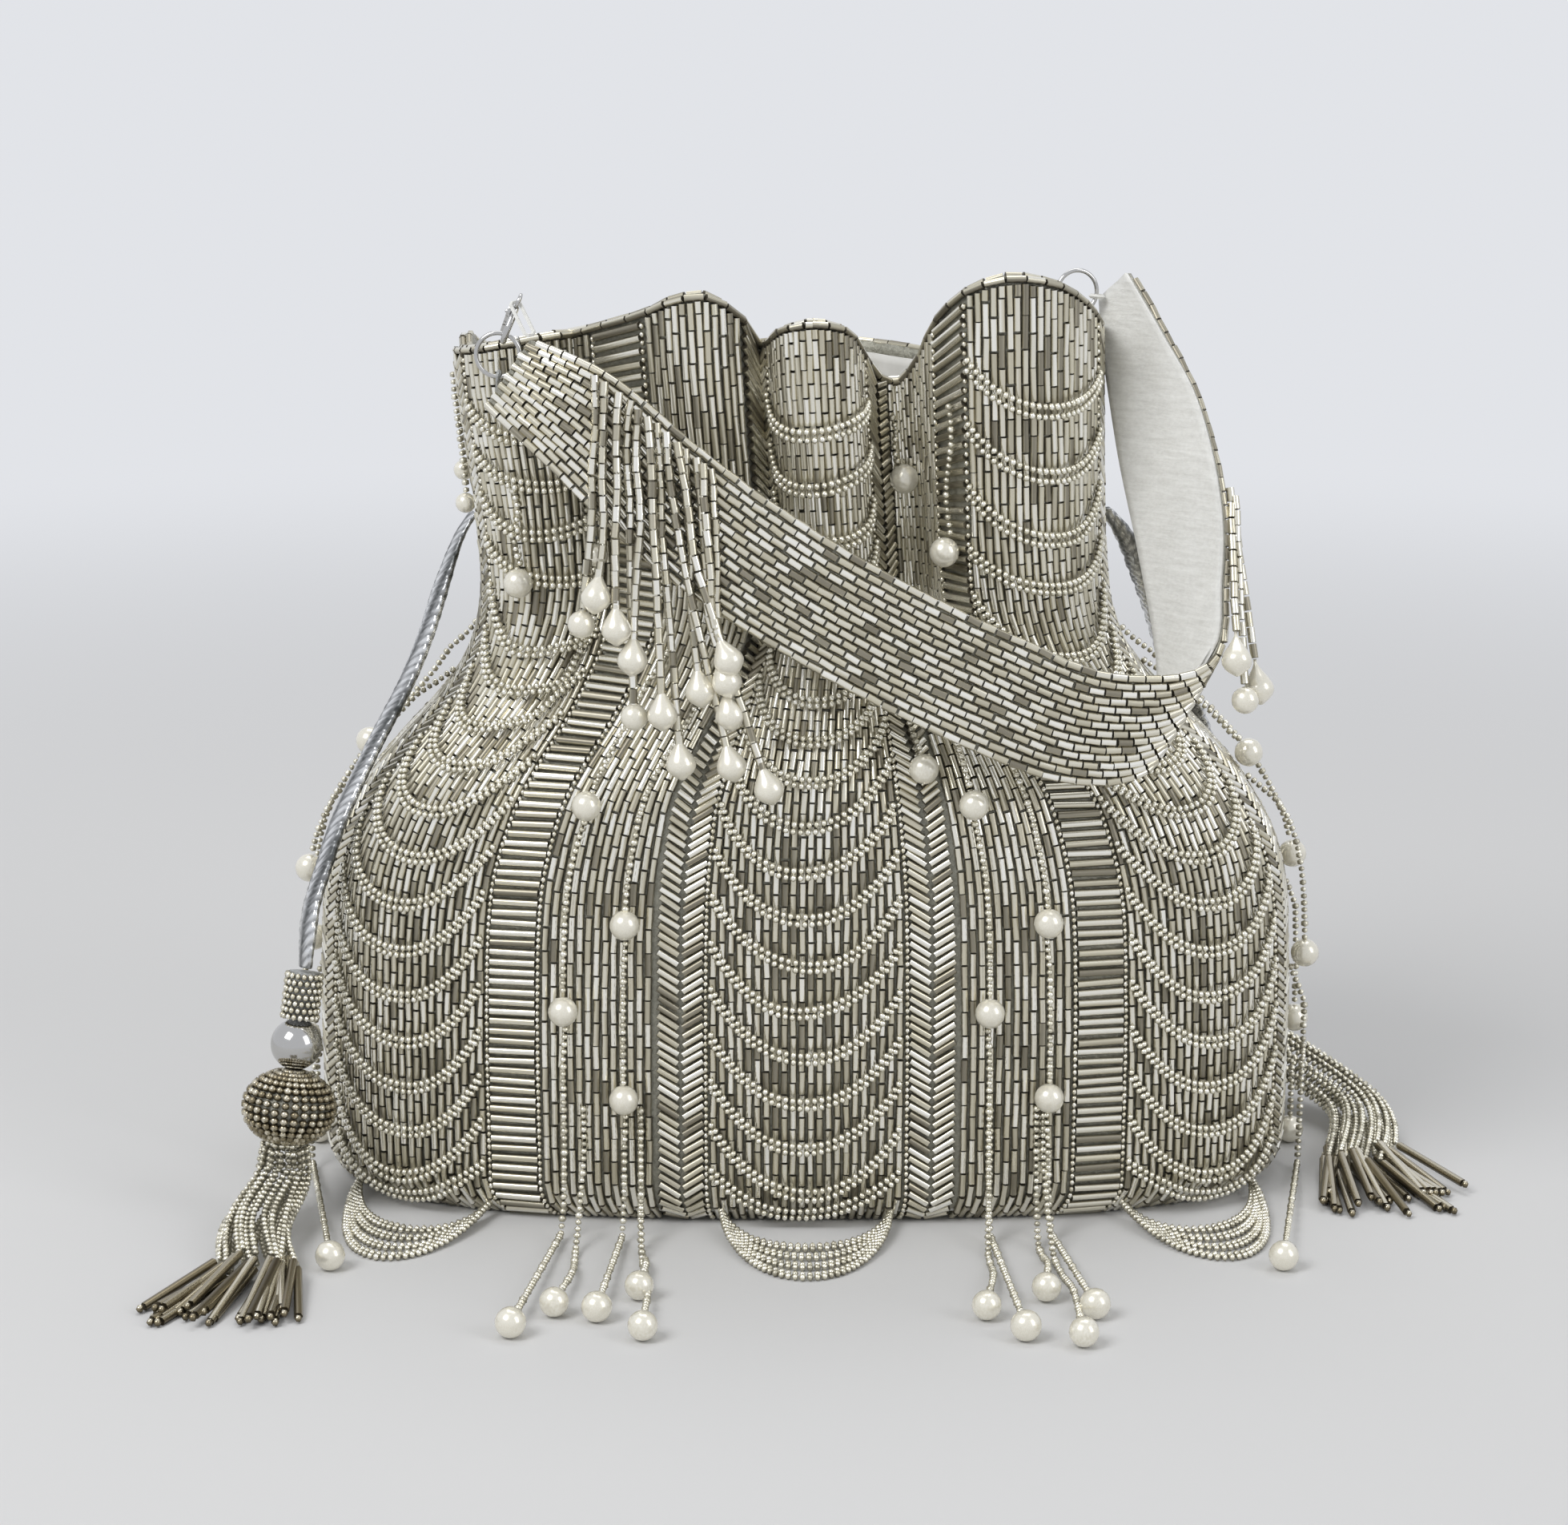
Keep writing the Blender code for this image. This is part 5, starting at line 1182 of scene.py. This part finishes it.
def tassel_skirt(beads, tubes, start, axis, bend, foot, heading):
    """Strands from the ball down to the floor, and the long tubes at their ends."""
    route = smooth_route([start, start + axis * 9, (*bend, 7.5), (*foot, 4)], SKIRT_STEPS)
    ahead = unit(np.gradient(route, axis=0))
    wide = unit(np.array([1, 0, 0]) - ahead * ahead[:, :1])
    tall = np.cross(ahead, wide)
    heading = unit([*heading, 0])
    aside = np.array([-heading[1], heading[0], 0])
    shares = np.linspace(0, 1, SKIRT_STEPS)
    for k in range(SKIRT_STRANDS):
        turn = k * STRAND_TURN
        depth = 0.55 + 0.45 * math.sqrt((k + 0.5) / SKIRT_STRANDS)
        half_wide = (SKIRT_TOP + (SKIRT_BOTTOM - SKIRT_TOP) * shares) * depth * math.cos(turn)
        half_tall = np.interp(shares, (0, 0.25, 1), (SKIRT_TOP, SKIRT_DEPTH, SKIRT_END))
        half_tall = half_tall * depth * math.sin(turn)
        line = route + wide * half_wide[:, None] + tall * half_tall[:, None]
        line += np.outer(np.sin(shares * 7 + k) * shares, (*rng.normal(0, 1, 2), 0))
        line[:, 2] = np.maximum(line[:, 2], 0.95)
        line = line[: int(SKIRT_STEPS * rng.uniform(0.86, 1))]
        line[0] = start - axis * 1.5 + (line[0] - start) * 0.8
        middle = SKIRT_STEPS // 2
        # The painted highlight of these seeds faces out from the skirt and a little up.
        facing = wide[middle] * math.cos(turn) + tall[middle] * math.sin(turn) + (0, 0, 0.6)
        beads.strung(resample(line, SEED_STEP), facing, 1, tone=SKIRT_TONE, squash=0.8)
        lean = FAN_SPREAD / 2 * math.cos(turn) * rng.uniform(0.6, 1.1)
        way = heading * math.cos(lean) + aside * math.sin(lean)
        tip = line[-1] + way * (FAN_TUBE * rng.uniform(0.9, 1.05))
        tip[2] = 1.3 + 1.6 * (k % 3 == 0)
        tubes.tubes(line[-1] + way * 1.5, tip, (0, 0, 1), FAN_RADIUS)
        tubes.seeds(tip + way * 1.2, (0, 0, 1), FAN_SEED)


print("a skirt has", SKIRT_STRANDS, "strands")

# %% [markdown]
# ## The tassel's head, and the cord
# Above the skirt each part is turned about the tassel's axis, one below the other, so we walk
# down from the tape's end and add up the heights.

# %% The tassel's head, and the cord
def tassel(side):
    """All pieces of one tassel, from the tape's end down, and the cord that carries them."""
    origin, axis, bend, foot, heading = TASSELS[side]
    origin, axis = np.array(origin), unit(axis)
    side_way = unit(np.cross(axis, (0, 1, 0.2)))
    across = np.cross(axis, side_way)
    wrap, globe, skirt, fan = Beads(), Beads(), Beads(), Beads()
    for row in range(WRAP_ROWS):
        angles = np.linspace(0, math.tau, 17, endpoint=False) + row * 0.18
        ring = np.outer(np.cos(angles), side_way) + np.outer(np.sin(angles), across)
        centre = origin + axis * (WRAP_START + 1 + WRAP_PITCH * row)
        wrap.seeds(centre + ring * (WRAP_RADIUS - 0.9), ring, 0.98)
    core = swept_tube([origin + axis * d for d in (WRAP_START, 4, WRAP_LENGTH)], WRAP_RADIUS - 1.4, 16)
    wrap_core = add_piece(f"wrap_core_{side}", *core, lurex)
    distance = WRAP_START + WRAP_LENGTH
    steps = np.linspace(0.02, math.pi - 0.02, 22)
    ball_line = [origin + axis * (distance - 0.2 + METAL_BALL * (1 - math.cos(a))) for a in steps]
    skin = swept_tube(ball_line, METAL_BALL * np.sin(steps), 32)
    ball = add_piece(f"polished_ball_{side}", *skin, chrome)
    distance += 2 * METAL_BALL
    centre = origin + axis * (distance - 0.4 + GLOBE_HEIGHT / 2)
    arc = np.linspace(0.2, math.pi - 0.2, 90)
    for cosine, sine in zip(*circle(GLOBE_LINES)):
        line = centre + np.outer(-np.cos(arc), axis) * (GLOBE_HEIGHT / 2 - 0.9)
        line = line + np.outer(np.sin(arc), side_way * cosine + across * sine) * (GLOBE_RADIUS - 1.1)
        seeds = resample(line, SEED_STEP)
        globe.strung(seeds, unit(seeds - centre), GLOBE_SEED)
    core = [centre + axis * (GLOBE_HEIGHT / 2 - 1.6) * -math.cos(a) for a in steps]
    skin = swept_tube(core, (GLOBE_RADIUS - 1.8) * np.sin(steps), 28)
    globe_core = add_piece(f"globe_core_{side}", *skin, net_cloth)
    tassel_skirt(skirt, fan, origin + axis * (distance + GLOBE_HEIGHT), axis, bend, foot, heading)
    settle(ball, "chrome", f"metal_ball_{side}")
    pieces = [
        wrap.piece(f"seed_wrap_{side}", f"bead_wrap_{side}"),
        settle(wrap_core, "silver_tape"),
        ball,
        globe.piece(f"seed_globe_{side}", f"beaded_ball_{side}", material=dusky_bead),
        settle(globe_core, "glass_beads"),
        skirt.piece(f"seed_skirt_{side}", f"tassel_skirt_{side}", material=pale_bead),
        fan.piece(f"long_tubes_{side}", f"tassel_bugles_{side}", material=dusky_bead),
    ]
    route, tape = tapes[side]
    settle(tape, "silver_tape", f"drawstring_{side}")
    path = [tuple(p * MM) for p in (*route[::3], route[-1])]


for side in TASSELS:
    tassel(side)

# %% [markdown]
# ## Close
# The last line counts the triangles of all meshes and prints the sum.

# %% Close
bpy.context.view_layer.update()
meshes = [o.data for o in bpy.data.objects if o.type == "MESH"]
print("triangles", sum(len(face.vertices) - 2 for mesh in meshes for face in mesh.polygons))
